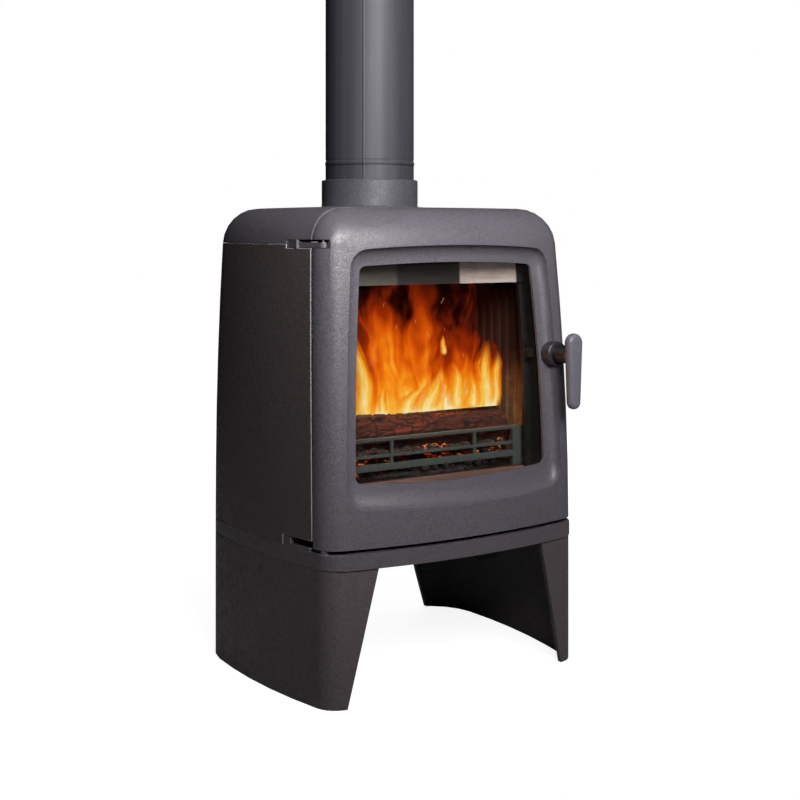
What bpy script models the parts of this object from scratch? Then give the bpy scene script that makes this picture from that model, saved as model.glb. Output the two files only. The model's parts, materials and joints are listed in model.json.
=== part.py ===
"""Cast iron wood stove on a log store base, with a hinged bowed door and a turn handle.

Units are metres, +Z up. The front faces -Y. The pieces are drawn in a working frame
whose plane y = 0 is the joint between body and door, and are moved once at the end so
that the origin lies on the floor under the middle of the whole stove.
"""
import math

import bmesh
import bpy
import numpy as np
from mathutils import Matrix, Vector

NAME = "wood_stove"

# Overall heights
BASE_HEIGHT = 0.2017
PLINTH_THICK = 0.0235
DOOR_SILL = 0.0058
BODY_TOP = 0.733

# Plan of body and door, measured from the joint plane
BODY_WIDTH = 0.516
BODY_DEPTH = 0.368
DOOR_SIDE_DEPTH = 0.027
BOW_RADIUS = 0.957
WIDEST_Y = 0.198
FRONT_CORNER = 0.037
REAR_CORNER = 0.100
DOOR_DEPTH = DOOR_SIDE_DEPTH + BOW_RADIUS - math.sqrt(BOW_RADIUS**2 - (BODY_WIDTH / 2) ** 2)

# Rounding of the top and lean of the walls at the top
TOP_ROUND_IN = 0.048
TOP_ROUND_UP = 0.056
FRONT_LEAN = 0.0273
BACK_LEAN = 0.012
SIDE_LEAN = 0.0148
FRONT_LEAN_CURVE = 1.7
SIDE_LEAN_CURVE = 2.2

# Castings and running clearances
WALL = 0.007
SEAT = 0.0003
FIT = 0.0005
DOOR_GAP = 0.002
EDGE_LIP = 0.0035
FRAME_SET_BACK = 0.006
FRAME_THICK = 0.008

# Base with its log store
LEG_WALL = 0.008
STORE_TOP_SIDE = 0.106
STORE_TOP_HALF = BODY_WIDTH / 2 - STORE_TOP_SIDE
STORE_BOTTOM_SIDE = 0.058
STORE_BOTTOM_HALF = BODY_WIDTH / 2 - STORE_BOTTOM_SIDE
LEG_FLANGE = 0.016
LEG_FLANGE_THICK = 0.006
BACK_SEAM_IN = 0.008
BACK_PANEL_HALF = BODY_WIDTH / 2 - REAR_CORNER - BACK_SEAM_IN
PLINTH_LEDGE = 0.003
PLINTH_RIM = 0.013
PLINTH_WEB = 0.0075

# Door: recess, window and seal
RECESS_SIDE_LOW = 0.0568
RECESS_HALF_LOW = BODY_WIDTH / 2 - RECESS_SIDE_LOW
RECESS_SIDE_TOP = 0.0675
RECESS_HALF_TOP = BODY_WIDTH / 2 - RECESS_SIDE_TOP
RECESS_LOW = 0.2797
RECESS_HIGH = 0.675
RECESS_CORNER = 0.030
WINDOW_SIDE_LOW = 0.0237
WINDOW_HALF_LOW = RECESS_HALF_LOW - WINDOW_SIDE_LOW
WINDOW_SIDE_TOP = 0.0235
WINDOW_HALF_TOP = RECESS_HALF_TOP - WINDOW_SIDE_TOP
WINDOW_LOW = 0.3165
WINDOW_HIGH = 0.6487
WINDOW_CORNER = 0.010
EDGE_BOW = 0.20
COVE_DEPTH = 0.0185
LIP_THICK = 0.005
DOOR_EDGE_ROUND = 0.004
GLASS_MARGIN = 0.009
GLASS_THICK = 0.004
GASKET_THICK = 0.002
CLIP_SIDE = 0.0675
CLIP_X = WINDOW_HALF_LOW - CLIP_SIDE
CLIP_WIDTH = 0.018
CLIP_FOOT = 0.012
CLIP_FINGER = 0.007
CLIP_THICK = 0.0025
SEAL_INSET = 0.0215
SEAL_WIDTH = 0.0065
SEAL_DEPTH = 0.007
FLANGE_WIDTH = 0.033

# Hinge
PIVOT_IN = 0.0125
PIVOT_AHEAD = 0.0175
HINGE_PIN_RADIUS = 0.003
STRAP_THICK = 0.008
STRAP_HALF = 0.0066
STRAP_LENGTH = 0.062
SLOT_HEIGHT = 0.013
SLOT_END = 0.0036
STRAP_FOOT_GAP = 0.001
PIN_HALF_LENGTH = 0.0125
LOWER_PIN_LENGTH = 0.020
PIN_SOCKET = 0.012
TONGUE_RADIUS = 0.0072
TONGUE_CLEARANCE = 0.0012
LUG_WIDTH = 0.020
LUG_INSET = 0.0004
LUG_BLOCK = 0.010
LUG_BACK = 0.067
LUG_HEIGHT = 0.0148

# Handle and latch
HANDLE_SIDE = 0.061
HANDLE_X = BODY_WIDTH / 2 - HANDLE_SIDE
HANDLE_Z = 0.4973
COLLAR_RADIUS = 0.020
COLLAR_LENGTH = 0.0228
STEM_RADIUS = 0.0130
STEM_LENGTH = 0.030
PADDLE_LENGTH = 0.121
PADDLE_ABOVE = 0.036
PADDLE_TOP_HALF = 0.0152
PADDLE_LOW_HALF = 0.0112
PADDLE_THICK = 0.0165
PADDLE_ROUND = 0.0072
SPINDLE_RADIUS = 0.005
CAM_REACH = 0.019
CAM_HALF = 0.005
HUB_RADIUS = 0.0068
HUB_ROOM = 0.0076
CAM_THICK = 0.005
CAM_PLAY = 0.001
KEEPER_GAP = 0.001
CAM_STANDOFF = 0.008
KEEPER_POST = 0.008
KEEPER_HALF = 0.014

# Flue
FLUE_FROM_BACK = 0.145
FLUE_Y = BODY_DEPTH - FLUE_FROM_BACK
PIPE_RADIUS = 0.075
PIPE_WALL = 0.002
PIPE_LENGTH = 0.500
PIPE_INSERT = 0.040
BEAD_HEIGHT = 0.0295
BEAD_HALF = 0.0055
BEAD_PROUD = 0.0008
SPIGOT_HEIGHT = 0.0490
SPIGOT_WALL = 0.006
SPIGOT_FLANGE = 0.011
FLANGE_THICK = 0.003
FLUE_HOLE = PIPE_RADIUS + 0.003
SCREW_RADIUS = 0.0022
SCREW_HEAD = 0.0035

# Firebox
LINING_SIDE = 0.068
BRICK_INNER = BODY_WIDTH / 2 - LINING_SIDE
BRICK_THICK = 0.026
BRICK_FRONT_Y = 0.032
LINING_FROM_BACK = 0.056
BRICK_BACK_Y = BODY_DEPTH - LINING_FROM_BACK
BRICK_TOP = 0.598
FRAME_LAND = 0.022
FRAME_OPEN_HALF = BRICK_INNER - FRAME_LAND
FRAME_OPEN_LOW = 0.258
FRAME_OPEN_HIGH = 0.655
HEARTH_TOP = 0.312
HEARTH_THICK = 0.008
HEARTH_FROM_BACK = 0.022
HEARTH_BACK = BODY_DEPTH - HEARTH_FROM_BACK
PIT_SIDE = 0.040
PIT_HALF = BRICK_INNER - PIT_SIDE
FLUTE_PITCH = 0.022
FLUTE_DEPTH = 0.005
BAFFLE_LAP = 0.010
BAFFLE_HALF = BRICK_INNER + BAFFLE_LAP
BAFFLE_THICK = 0.014
BAFFLE_FRONT_Y = 0.095
AIRWASH_LOW = 0.613
AIRWASH_HIGH = 0.672
AIRWASH_HALF = BRICK_INNER
AIRWASH_THICK = 0.005
GRATE_SIDE = 0.045
GRATE_HALF_X = PIT_HALF - GRATE_SIDE
GRATE_HALF_Y = 0.085
GRATE_MID_Y = (BRICK_FRONT_Y + BRICK_BACK_Y) / 2
GRATE_SLOTS = 7
GRATE_LEDGE = 0.008
GRATE_RIM = 0.004
GRATE_END = 0.008
PAN_SIDE = 0.010
PAN_HALF = PIT_HALF - PAN_SIDE
PAN_SPARE = 0.108
PAN_DEPTH = BODY_DEPTH - PAN_SPARE
PAN_HEIGHT = 0.034
PAN_WALL = 0.002
PAN_LOW = 0.262
WEB_THICK = 0.008
GUARD_Y = 0.031
GUARD_CLEARANCE = 0.004
GUARD_HALF = BRICK_INNER - GUARD_CLEARANCE
GUARD_TOP = 0.3780
GUARD_RAILS = ((0.3275, 0.3380, 0.008), (0.3475, 0.3525, 0.006), (0.3725, 0.3780, 0.007))
GUARD_POST_X = 0.079
GUARD_BLOCK = 0.031
GUARD_END = GUARD_HALF - GUARD_BLOCK
BED_TOP = 0.338
BED_SIDE = 0.025
BED_HALF_X = BRICK_INNER - BED_SIDE
BED_HALF_Y = (BRICK_BACK_Y - BRICK_FRONT_Y) / 2 - BED_SIDE
BED_AHEAD = 0.003
BED_FRONT_Y = BRICK_FRONT_Y - BED_AHEAD
LOG_RADII = (0.036, 0.044, 0.034)
LOG_Y = (0.078, 0.170)
LOG_SPARE = 0.030
LOG_LENGTH = 2 * (BRICK_INNER - LOG_SPARE)

# Air controls under the plinth
AIR_X = 0.050
AIR_PLATE = 0.068
AIR_DEPTH = 0.085
AIR_THICK = 0.003
AIR_GUIDE_WALL = 0.006
AIR_TAB_WIDTH = 0.040
AIR_TAB_DROP = 0.015
AIR_TAB_THICK = 0.005
AIR_TRAVEL = 0.020
AIR_Y = -0.0415
AIR_PORT_WIDTH = 0.016
AIR_PORT_DEPTH = 0.012
AIR_PORT_Y = 0.028

# Tie rods
ROD_RADIUS = 0.003
ROD_SIDE = 0.0355
ROD_X = BODY_WIDTH / 2 - ROD_SIDE
ROD_FROM_BACK = 0.113
ROD_Y = (0.120, BODY_DEPTH - ROD_FROM_BACK)
ROD_BOSS = 0.007
ROD_BOSS_TOP = 0.034
ROD_REACH = 0.024
ROD_HEAD = 0.0065

# Facets
FRONT_STEPS = 7
CORNER_STEPS = 5
SIDE_STEPS = 5
TOP_STEPS = 6
TURNED_STEPS = 36
LEAN_BANDS = 5

PLINTH_TOP = BASE_HEIGHT + PLINTH_THICK
DOOR_BOTTOM = PLINTH_TOP + DOOR_SILL
SPRING = BODY_TOP - TOP_ROUND_UP
FRAME_BACK = FRAME_SET_BACK + FRAME_THICK
JOINT_HALF = BODY_WIDTH / 2 - BOW_RADIUS + math.sqrt(BOW_RADIUS**2 - WIDEST_Y**2)
LUG_INNER = JOINT_HALF - LUG_WIDTH
LUG_TOP = PLINTH_TOP + LUG_HEIGHT
TONGUE_TOP = DOOR_BOTTOM - TONGUE_CLEARANCE
WEB_UNDER = PLINTH_TOP - PLINTH_WEB
COLLAR_TOP = BODY_TOP + SPIGOT_HEIGHT

CAST = (0.080, 0.075, 0.080)
FINISHES = {
    "cast_body": (CAST, 0.62, 0.55),
    "cast_inner": ((0.045, 0.043, 0.045), 0.80, 0.30),
    "flue_steel": ((0.120, 0.115, 0.130), 0.45, 0.70),
    "black_steel": ((0.035, 0.035, 0.038), 0.50, 0.80),
    "bright_steel": ((0.420, 0.410, 0.400), 0.38, 0.95),
    "glass": ((0.060, 0.055, 0.050), 0.08, 0.00),
    "seal_rope": ((0.090, 0.088, 0.085), 0.95, 0.00),
    "firebrick": ((0.360, 0.300, 0.230), 0.95, 0.00),
    "bark": ((0.060, 0.045, 0.035), 0.95, 0.00),
    "embers": ((0.300, 0.080, 0.020), 0.95, 0.00),
}


# Scene set-up

def clear_scene():
    """Removes every object, so that the stove stands alone."""
    for obj in list(bpy.data.objects):
        bpy.data.objects.remove(obj, do_unlink=True)


def make_materials():
    """One Principled material for each finish."""
    made = {}
    for name, (colour, rough, metal) in FINISHES.items():
        mat = bpy.data.materials.new(name)
        mat.use_nodes = True
        shader = mat.node_tree.nodes["Principled BSDF"]
        shader.inputs["Base Color"].default_value = (*colour, 1.0)
        shader.inputs["Roughness"].default_value = rough
        shader.inputs["Metallic"].default_value = metal
        made[name] = mat
    return made


def new_object(name, mesh, finish=None):
    """Links a mesh object into the stove's collection, in a finish of its own."""
    obj = bpy.data.objects.new(name, mesh)
    PARTS.objects.link(obj)
    if finish:
        mat = MATERIALS[finish].copy()
        mat.name = name
        mesh.materials.append(mat)
    return obj


def object_from(bm, name, finish=None):
    """Turns a closed bmesh into an object, with its faces pointing out."""
    bmesh.ops.recalc_face_normals(bm, faces=bm.faces)
    mesh = bpy.data.meshes.new(name)
    bm.to_mesh(mesh)
    bm.free()
    return new_object(name, mesh, finish)


# Booleans and the lean of the castings

def bake(obj):
    """Replaces an object's mesh by the one that its modifiers make."""
    bpy.context.view_layer.update()
    graph = bpy.context.evaluated_depsgraph_get()
    mesh = bpy.data.meshes.new_from_object(obj.evaluated_get(graph))
    obj.modifiers.clear()
    obj.data = mesh
    return obj


def combine(obj, others, operation):
    """Cuts, joins or crosses an object with others, which are used up."""
    for other in others:
        step = obj.modifiers.new(operation.lower(), "BOOLEAN")
        step.operation = operation
        step.solver = "EXACT"
        step.object = other
    bake(obj)
    for other in others:
        bpy.data.objects.remove(other, do_unlink=True)
    return obj


def cut(obj, *cutters):
    return combine(obj, cutters, "DIFFERENCE")


def join(obj, *pieces):
    return combine(obj, pieces, "UNION")


def keep_side(bm, point, outward):
    """Cuts a solid by a plane, drops the side that outward points to and closes it."""
    geom = bm.verts[:] + bm.edges[:] + bm.faces[:]
    found = bmesh.ops.bisect_plane(
        bm, geom=geom, dist=1e-7, plane_co=point, plane_no=outward, clear_outer=True
    )
    edges = [e for e in found["geom_cut"] if isinstance(e, bmesh.types.BMEdge)]
    bmesh.ops.edgeloop_fill(bm, edges=edges)


def lean_heights():
    """Heights between which the lean runs straight, so that pieces cut at them stay apart."""
    return [*np.linspace(DOOR_BOTTOM, SPRING, LEAN_BANDS + 1), BODY_TOP]


def lean_share(z, curve):
    """How much of the full lean a height has, from 0 at the door's foot to 1 on top."""
    heights = lean_heights()
    shares = [((h - DOOR_BOTTOM) / (BODY_TOP - DOOR_BOTTOM)) ** curve for h in heights]
    return float(np.interp(z, heights, shares))


def lean(point):
    """Moves a point of an upright casting to where the leaning walls have it."""
    x, y, z = point
    side = SIDE_LEAN / (BODY_WIDTH / 2) * lean_share(z, SIDE_LEAN_CURVE)
    depth = min(max(y / BODY_DEPTH, 0.0), 1.0)
    back = FRONT_LEAN - (FRONT_LEAN + BACK_LEAN) * depth
    return Vector((x * (1 - side), y + back * lean_share(z, FRONT_LEAN_CURVE), z))


def lean_casting(obj, smooth=35):
    """Divides a casting into bands of height and leans it with the body."""
    bm = bmesh.new()
    bm.from_mesh(obj.data)
    bmesh.ops.remove_doubles(bm, verts=bm.verts, dist=1e-6)
    for z in lean_heights():
        geom = bm.verts[:] + bm.edges[:] + bm.faces[:]
        bmesh.ops.bisect_plane(bm, geom=geom, dist=1e-6, plane_co=(0, 0, z), plane_no=(0, 0, 1))
    bmesh.ops.triangulate(bm, faces=bm.faces)
    for vert in bm.verts:
        vert.co = lean(vert.co)
    bm.to_mesh(obj.data)
    bm.free()
    shade(obj, smooth)
    return obj


def shade(obj, angle=35):
    """Smooth shading that breaks at real edges."""
    obj.data.shade_smooth()
    obj.data.set_sharp_from_angle(angle=math.radians(angle))
    return obj


# Shapes

def arc(centre, radius, start, end, steps):
    """Points of an arc, both ends included."""
    angles = np.linspace(start, end, steps + 1)
    return [Vector((centre[0] + radius * math.cos(a), centre[1] + radius * math.sin(a))) for a in angles]


def outline(grow=0.0):
    """Plan of the body, a parallel curve grow outside it: bowed front and sides, round corners."""
    half = BODY_WIDTH / 2 + grow
    front = -DOOR_DEPTH - grow
    back = BODY_DEPTH + grow
    bow = BOW_RADIUS + grow
    corner = FRONT_CORNER + grow
    rear = REAR_CORNER + grow
    front_c = Vector((0, front + bow))
    side_c = Vector((half - bow, WIDEST_Y))
    gap = (side_c - front_c).length
    far = (bow - corner) ** 2
    along = gap / 2
    off = math.sqrt(far - along**2)
    mid = (side_c + front_c) / 2
    turn = (side_c - front_c).normalized()
    corner_c = mid + Vector((-turn.y, turn.x)) * off
    if corner_c.x < 0:
        corner_c = mid - Vector((-turn.y, turn.x)) * off
    rear_y = back - rear
    rear_c = Vector((side_c.x + math.sqrt((bow - rear) ** 2 - (rear_y - WIDEST_Y) ** 2), rear_y))
    a_front = math.atan2(*(corner_c - front_c).yx)
    a_side = math.atan2(*(corner_c - side_c).yx)
    a_rear = math.atan2(*(rear_c - side_c).yx)
    right = arc(front_c, bow, -math.pi / 2, a_front, FRONT_STEPS)
    right += arc(corner_c, corner, a_front, a_side, CORNER_STEPS)[1:]
    right += arc(side_c, bow, a_side, a_rear, SIDE_STEPS)[1:]
    right += arc(rear_c, rear, a_rear, math.pi / 2, CORNER_STEPS)[1:]
    left = [Vector((-p.x, p.y)) for p in reversed(right[1:])]
    return right + [Vector((0, back))] + left


def plinth_outline(grow=0.0):
    """The body's plan with its front brought forward as the plinth's ledge."""
    moved = []
    for p in outline(grow):
        share = min(max(-p.y / (DOOR_DEPTH * 0.6), 0.0), 1.0)
        moved.append(Vector((p.x, p.y - PLINTH_LEDGE * share)))
    return moved


def loft(rings):
    """A closed bmesh through rings of equally many points, with a cap at both ends."""
    bm = bmesh.new()
    rows = [[bm.verts.new(p) for p in ring] for ring in rings]
    for low, high in zip(rows, rows[1:]):
        for i in range(len(low)):
            j = (i + 1) % len(low)
            bm.faces.new((low[i], low[j], high[j], high[i]))
    bm.faces.new(rows[0])
    bm.faces.new(rows[-1])
    return bm


def upright(points, low, high):
    """A straight-walled solid over a plan outline."""
    return loft([[(p.x, p.y, z) for p in points] for z in (low, high)])


def body_form(grow=0.0, low=None):
    """The whole outer form of body and door, a wall grow thicker or thinner all round."""
    low = PLINTH_TOP if low is None else low
    points = outline(grow)
    half = BODY_WIDTH / 2 + grow
    mid = (BODY_DEPTH - DOOR_DEPTH) / 2
    deep = (BODY_DEPTH + DOOR_DEPTH) / 2 + grow
    rings = [[(p.x, p.y, z) for p in points] for z in (low, SPRING)]
    rise = TOP_ROUND_UP + grow
    for step in range(1, TOP_STEPS + 1):
        angle = math.pi / 2 * step / TOP_STEPS
        inset = TOP_ROUND_IN * (1 - math.cos(angle))
        sx = (half - inset) / half
        sy = (deep - inset) / deep
        z = SPRING + rise * math.sin(angle)
        rings.append([(p.x * sx, mid + (p.y - mid) * sy, z) for p in points])
    return loft(rings)


def box(x0, x1, y0, y1, z0, z1, bevel=0.0, segments=1):
    """A block between two corners, its edges rounded if bevel is given."""
    bm = bmesh.new()
    bmesh.ops.create_cube(bm, size=1.0)
    size = Vector((x1 - x0, y1 - y0, z1 - z0))
    bmesh.ops.scale(bm, vec=size, verts=bm.verts)
    bmesh.ops.translate(bm, vec=((x0 + x1) / 2, (y0 + y1) / 2, (z0 + z1) / 2), verts=bm.verts)
    if bevel:
        bmesh.ops.bevel(
            bm, geom=bm.edges[:], offset=bevel, segments=segments, affect="EDGES", profile=0.5
        )
    return bm


def box_object(name, *corners, finish=None, **rounding):
    return object_from(box(*corners, **rounding), name, finish)


def cylinder(radius, start, end, steps=16, top=None):
    """A round bar or cone between two points."""
    start, end = Vector(start), Vector(end)
    bm = bmesh.new()
    bmesh.ops.create_cone(
        bm,
        cap_ends=True,
        segments=steps,
        radius1=radius,
        radius2=radius if top is None else top,
        depth=(end - start).length,
    )
    turn = Vector((0, 0, 1)).rotation_difference(end - start).to_matrix().to_4x4()
    bmesh.ops.transform(bm, matrix=Matrix.Translation((start + end) / 2) @ turn, verts=bm.verts)
    return bm


def cylinder_object(name, *shape, finish=None, **more):
    return object_from(cylinder(*shape, **more), name, finish)


def turned(name, profile, centre, finish=None, steps=TURNED_STEPS):
    """A turned piece: a closed profile of (radius, height) spun about an upright axis."""
    bm = bmesh.new()
    verts = [bm.verts.new((r, 0, z)) for r, z in profile]
    edges = [bm.edges.new((a, b)) for a, b in zip(verts, verts[1:] + verts[:1])]
    bmesh.ops.spin(
        bm,
        geom=verts + edges,
        cent=(0, 0, 0),
        axis=(0, 0, 1),
        angle=math.tau,
        steps=steps,
        use_merge=True,
    )
    bmesh.ops.remove_doubles(bm, verts=bm.verts, dist=1e-6)
    bmesh.ops.translate(bm, vec=(centre[0], centre[1], 0), verts=bm.verts)
    return shade(object_from(bm, name, finish))


def rounded_panel(low, high, half_low, half_top, radius, bow=0.0, grow=0.0, steps=5):
    """Points (x, z) of a barrel-shaped opening with round corners, grow outside its edge."""
    low, high = low - grow, high + grow
    half_low, half_top = half_low + grow, half_top + grow
    radius = max(radius + grow, 0.002)

    def side(z):
        share = (z - low) / (high - low)
        return half_low + (half_top - half_low) * share**2

    def top(x):
        return high - bow * x * x

    def foot(x):
        return low + bow * x * x

    x_low, x_top = side(low + radius) - radius, side(high - radius) - radius
    points = [Vector((x, foot(x))) for x in np.linspace(0, x_low, 5)]
    z_low, z_top = foot(x_low) + radius, top(x_top) - radius
    points += corner_points(points[-1], Vector((side(z_low), z_low)), steps)
    points += [Vector((side(z), z)) for z in np.linspace(z_low, z_top, 5)[1:]]
    points += corner_points(points[-1], Vector((x_top, top(x_top))), steps, upright_first=True)
    points += [Vector((x, top(x))) for x in np.linspace(x_top, 0, 5)[1:]]
    left = [Vector((-p.x, p.y)) for p in reversed(points[1:-1])]
    return points + left


def corner_points(start, end, steps, upright_first=False):
    """Points of a quarter round from start to end, start left out."""
    corner = Vector((start.x, end.y)) if upright_first else Vector((end.x, start.y))
    angles = np.linspace(0, math.pi / 2, steps + 1)[1:]
    return [
        corner + (start - corner) * (1 - math.sin(a)) + (end - corner) * (1 - math.cos(a))
        for a in angles
    ]


def door_face(x):
    """Depth of the bowed front at x."""
    return -DOOR_DEPTH + BOW_RADIUS - math.sqrt(BOW_RADIUS**2 - x * x)


def recess_contour():
    return rounded_panel(
        RECESS_LOW, RECESS_HIGH, RECESS_HALF_LOW, RECESS_HALF_TOP, RECESS_CORNER, EDGE_BOW
    )


def window_contour(grow=0.0):
    return rounded_panel(
        WINDOW_LOW, WINDOW_HIGH, WINDOW_HALF_LOW, WINDOW_HALF_TOP, WINDOW_CORNER, EDGE_BOW, grow
    )


def back_contour(inset):
    """Contour on the door's back, inset from its rim."""
    rim = max(x for x, y in outline_at_joint())
    corner = TOP_ROUND_UP - inset
    return rounded_panel(
        DOOR_BOTTOM + inset, BODY_TOP - inset, rim - inset, rim - inset, max(corner, 0.010)
    )


def outline_at_joint():
    """Where the plan crosses the joint plane."""
    points = outline()
    crossed = []
    for a, b in zip(points, points[1:]):
        if a.x > 0 and b.x > 0 and (a.y < 0) != (b.y < 0):
            share = -a.y / (b.y - a.y)
            crossed.append((a.x + (b.x - a.x) * share, 0.0))
    return crossed


def bowed_ring(contour, depth):
    """Contour points laid on the bowed front, depth behind it."""
    return [(p.x, door_face(p.x) + depth, p.y) for p in contour]


def flat_ring(contour, y):
    return [(p.x, y, p.y) for p in contour]


def flat_prism(contour, y0, y1):
    return loft([flat_ring(contour, y0), flat_ring(contour, y1)])


def blend_contours(a, b, share):
    return [p.lerp(q, share) for p, q in zip(a, b)]


def ring_object(name, outer, inner, finish=None):
    """A hoop: the bmesh outer less the bmesh inner."""
    hoop = object_from(outer, name, finish)
    return cut(hoop, object_from(inner, name + "_bore"))


# Base and plinth

def base_wall(side):
    """One cast side of the log store, wrapped round to a leg in front and behind."""
    bm = upright(outline(), 0.0, BASE_HEIGHT - SEAT)
    keep_side(bm, (0, 0, 0), (-side, 0, 0))
    wall = object_from(bm, "base_wall_right" if side > 0 else "base_wall_left", "cast_body")
    room = upright(outline(-LEG_WALL), -0.1, BASE_HEIGHT - LEG_FLANGE_THICK)
    throat = upright(outline(-LEG_WALL - LEG_FLANGE), 0.1, BASE_HEIGHT + 0.1)
    slope = (STORE_BOTTOM_HALF - STORE_TOP_HALF) / BASE_HEIGHT
    reach = 0.1
    mouth = [
        Vector((half, z))
        for half, z in (
            (STORE_BOTTOM_HALF + slope * reach, -reach),
            (STORE_TOP_HALF - slope * reach, BASE_HEIGHT + reach),
        )
    ]
    mouth += [Vector((-p.x, p.y)) for p in reversed(mouth)]
    cut(
        wall,
        object_from(room, "store_room"),
        object_from(throat, "store_throat"),
        object_from(flat_prism(mouth, -0.5, 0.8), "store_mouth"),
    )
    return shade(wall)


def plinth_plate():
    """Bottom plate of the body: a tray open below, with air ports and the lower hinge lug."""
    bm = upright(plinth_outline(), BASE_HEIGHT, PLINTH_TOP)
    rims = [e for e in bm.edges if abs(e.verts[0].co.z - e.verts[1].co.z) < 1e-6]
    bmesh.ops.bevel(bm, geom=rims, offset=0.0012, segments=1, affect="EDGES", profile=0.5)
    plate = object_from(bm, "plinth_plate", "cast_body")
    lug = object_from(upright(outline(-LUG_INSET), PLINTH_TOP - 0.003, LUG_TOP), "lug")
    profile = [
        (FRAME_SET_BACK, 0.1),
        (FRAME_SET_BACK, TONGUE_TOP),
        (LUG_BACK - LUG_BLOCK - LUG_HEIGHT / 2, TONGUE_TOP),
        (LUG_BACK - LUG_BLOCK, LUG_TOP + 0.1),
        (LUG_BACK, LUG_TOP + 0.1),
        (LUG_BACK, 0.1),
    ]
    rings = [[(x, y, z) for y, z in profile] for x in (-0.4, -LUG_INNER)]
    combine(lug, [object_from(loft(rings), "lug_side")], "INTERSECT")
    pivot = hinge_point(DOOR_BOTTOM)
    tongue = cylinder_object(
        "tongue", TONGUE_RADIUS, (pivot.x, pivot.y, PLINTH_TOP - 0.003), (pivot.x, pivot.y, TONGUE_TOP)
    )
    bridge = box_object(
        "bridge", pivot.x - TONGUE_RADIUS * 0.6, -LUG_INNER, pivot.y, LUG_BACK, PLINTH_TOP - 0.003,
        TONGUE_TOP,
    )
    join(plate, lug, tongue, bridge)
    tray = upright(plinth_outline(-PLINTH_RIM), 0.1, WEB_UNDER)
    ports = [
        box_object(
            f"port_{side}",
            *middle(side * AIR_X, AIR_PORT_WIDTH),
            *middle(AIR_PORT_Y, AIR_PORT_DEPTH),
            0.1,
            0.4,
        )
        for side in (-1, 1)
    ]
    socket = hinge_bore("socket", PLINTH_TOP - PIN_SOCKET, TONGUE_TOP + 0.01)
    rod_holes = [rod_hole(x, y, 0.1, 0.4) for x, y in rod_places()]
    return shade(cut(plate, object_from(tray, "tray"), socket, *ports, *rod_holes))


def middle(centre, width):
    return centre - width / 2, centre + width / 2


# Body

def joint_cutters():
    """Takes the inner part of the body's front edge back, so that only a thin lip meets the door."""
    bm = upright(outline(-EDGE_LIP), 0.1, BODY_TOP + 0.1)
    keep_side(bm, (0, FRAME_SET_BACK, 0), (0, 1, 0))
    keep_side(bm, (0, -0.02, 0), (0, -1, 0))
    return object_from(bm, "edge_rebate")


def hinge_slot_in_body():
    return box_object(
        "body_slot",
        -0.4,
        -BODY_WIDTH / 2 * 0.7,
        -0.1,
        STRAP_LENGTH + FIT,
        SPRING - SLOT_HEIGHT / 2,
        SPRING + SLOT_HEIGHT / 2,
    )


def side_panel(side):
    """Side casting from the joint plane round the rear corner to the back panel."""
    bm = upright(outline(), PLINTH_TOP + SEAT, SPRING - SEAT)
    keep_side(bm, (0, 0, 0), (0, -1, 0))
    keep_side(bm, (side * (BACK_PANEL_HALF + SEAT), 0, 0), (-side, 0, 0))
    panel = object_from(bm, "side_panel_right" if side > 0 else "side_panel_left", "cast_body")
    cutters = [object_from(upright(outline(-WALL), 0.1, BODY_TOP + 0.1), "room"), joint_cutters()]
    if side < 0:
        cutters.append(hinge_slot_in_body())
        cutters.append(
            box_object(
                "lug_notch", -0.4, -LUG_INNER + 0.002, -0.1, LUG_BACK + 0.001, 0.1, LUG_TOP + 0.001
            )
        )
    cut(panel, *cutters)
    return lean_casting(panel)


def back_panel():
    """Flat rear casting with a raised border."""
    edge = BACK_PANEL_HALF - SEAT
    panel = box_object(
        "back_panel",
        -edge,
        edge,
        BODY_DEPTH - WALL,
        BODY_DEPTH,
        PLINTH_TOP + SEAT,
        SPRING - SEAT,
        finish="cast_body",
    )
    field = rounded_panel(PLINTH_TOP + 0.03, SPRING - 0.03, edge - 0.025, edge - 0.025, 0.02)
    cut(panel, object_from(flat_prism(field, BODY_DEPTH - 0.002, BODY_DEPTH + 0.1), "field"))
    return lean_casting(panel)


def top_casting():
    """Rounded cap of the body, with the flue hole."""
    bm = body_form(0.0, SPRING - 0.03)
    keep_side(bm, (0, 0, SPRING + SEAT), (0, 0, -1))
    keep_side(bm, (0, 0, 0), (0, -1, 0))
    top = object_from(bm, "top_casting", "cast_body")
    rebate = body_form(-EDGE_LIP, SPRING - 0.1)
    keep_side(rebate, (0, FRAME_SET_BACK, 0), (0, 1, 0))
    keep_side(rebate, (0, -0.02, 0), (0, -1, 0))
    room = object_from(body_form(-WALL, SPRING - 0.1), "room")
    cut(top, room, object_from(rebate, "rebate"), hinge_slot_in_body())
    lean_casting(top)
    join(top, *(rod_boss(x, y) for x, y in rod_places()))
    hole = cylinder_object(
        "flue_hole", FLUE_HOLE, (0, FLUE_Y, SPRING), (0, FLUE_Y, BODY_TOP + 0.1), steps=TURNED_STEPS
    )
    screws = [screw_shank(number, SEAT) for number in (1, 2, 3)]
    rods = [rod_hole(x, y, SPRING - 0.01, SPRING + ROD_REACH + SEAT) for x, y in rod_places()]
    return shade(cut(top, hole, *screws, *rods))


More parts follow.
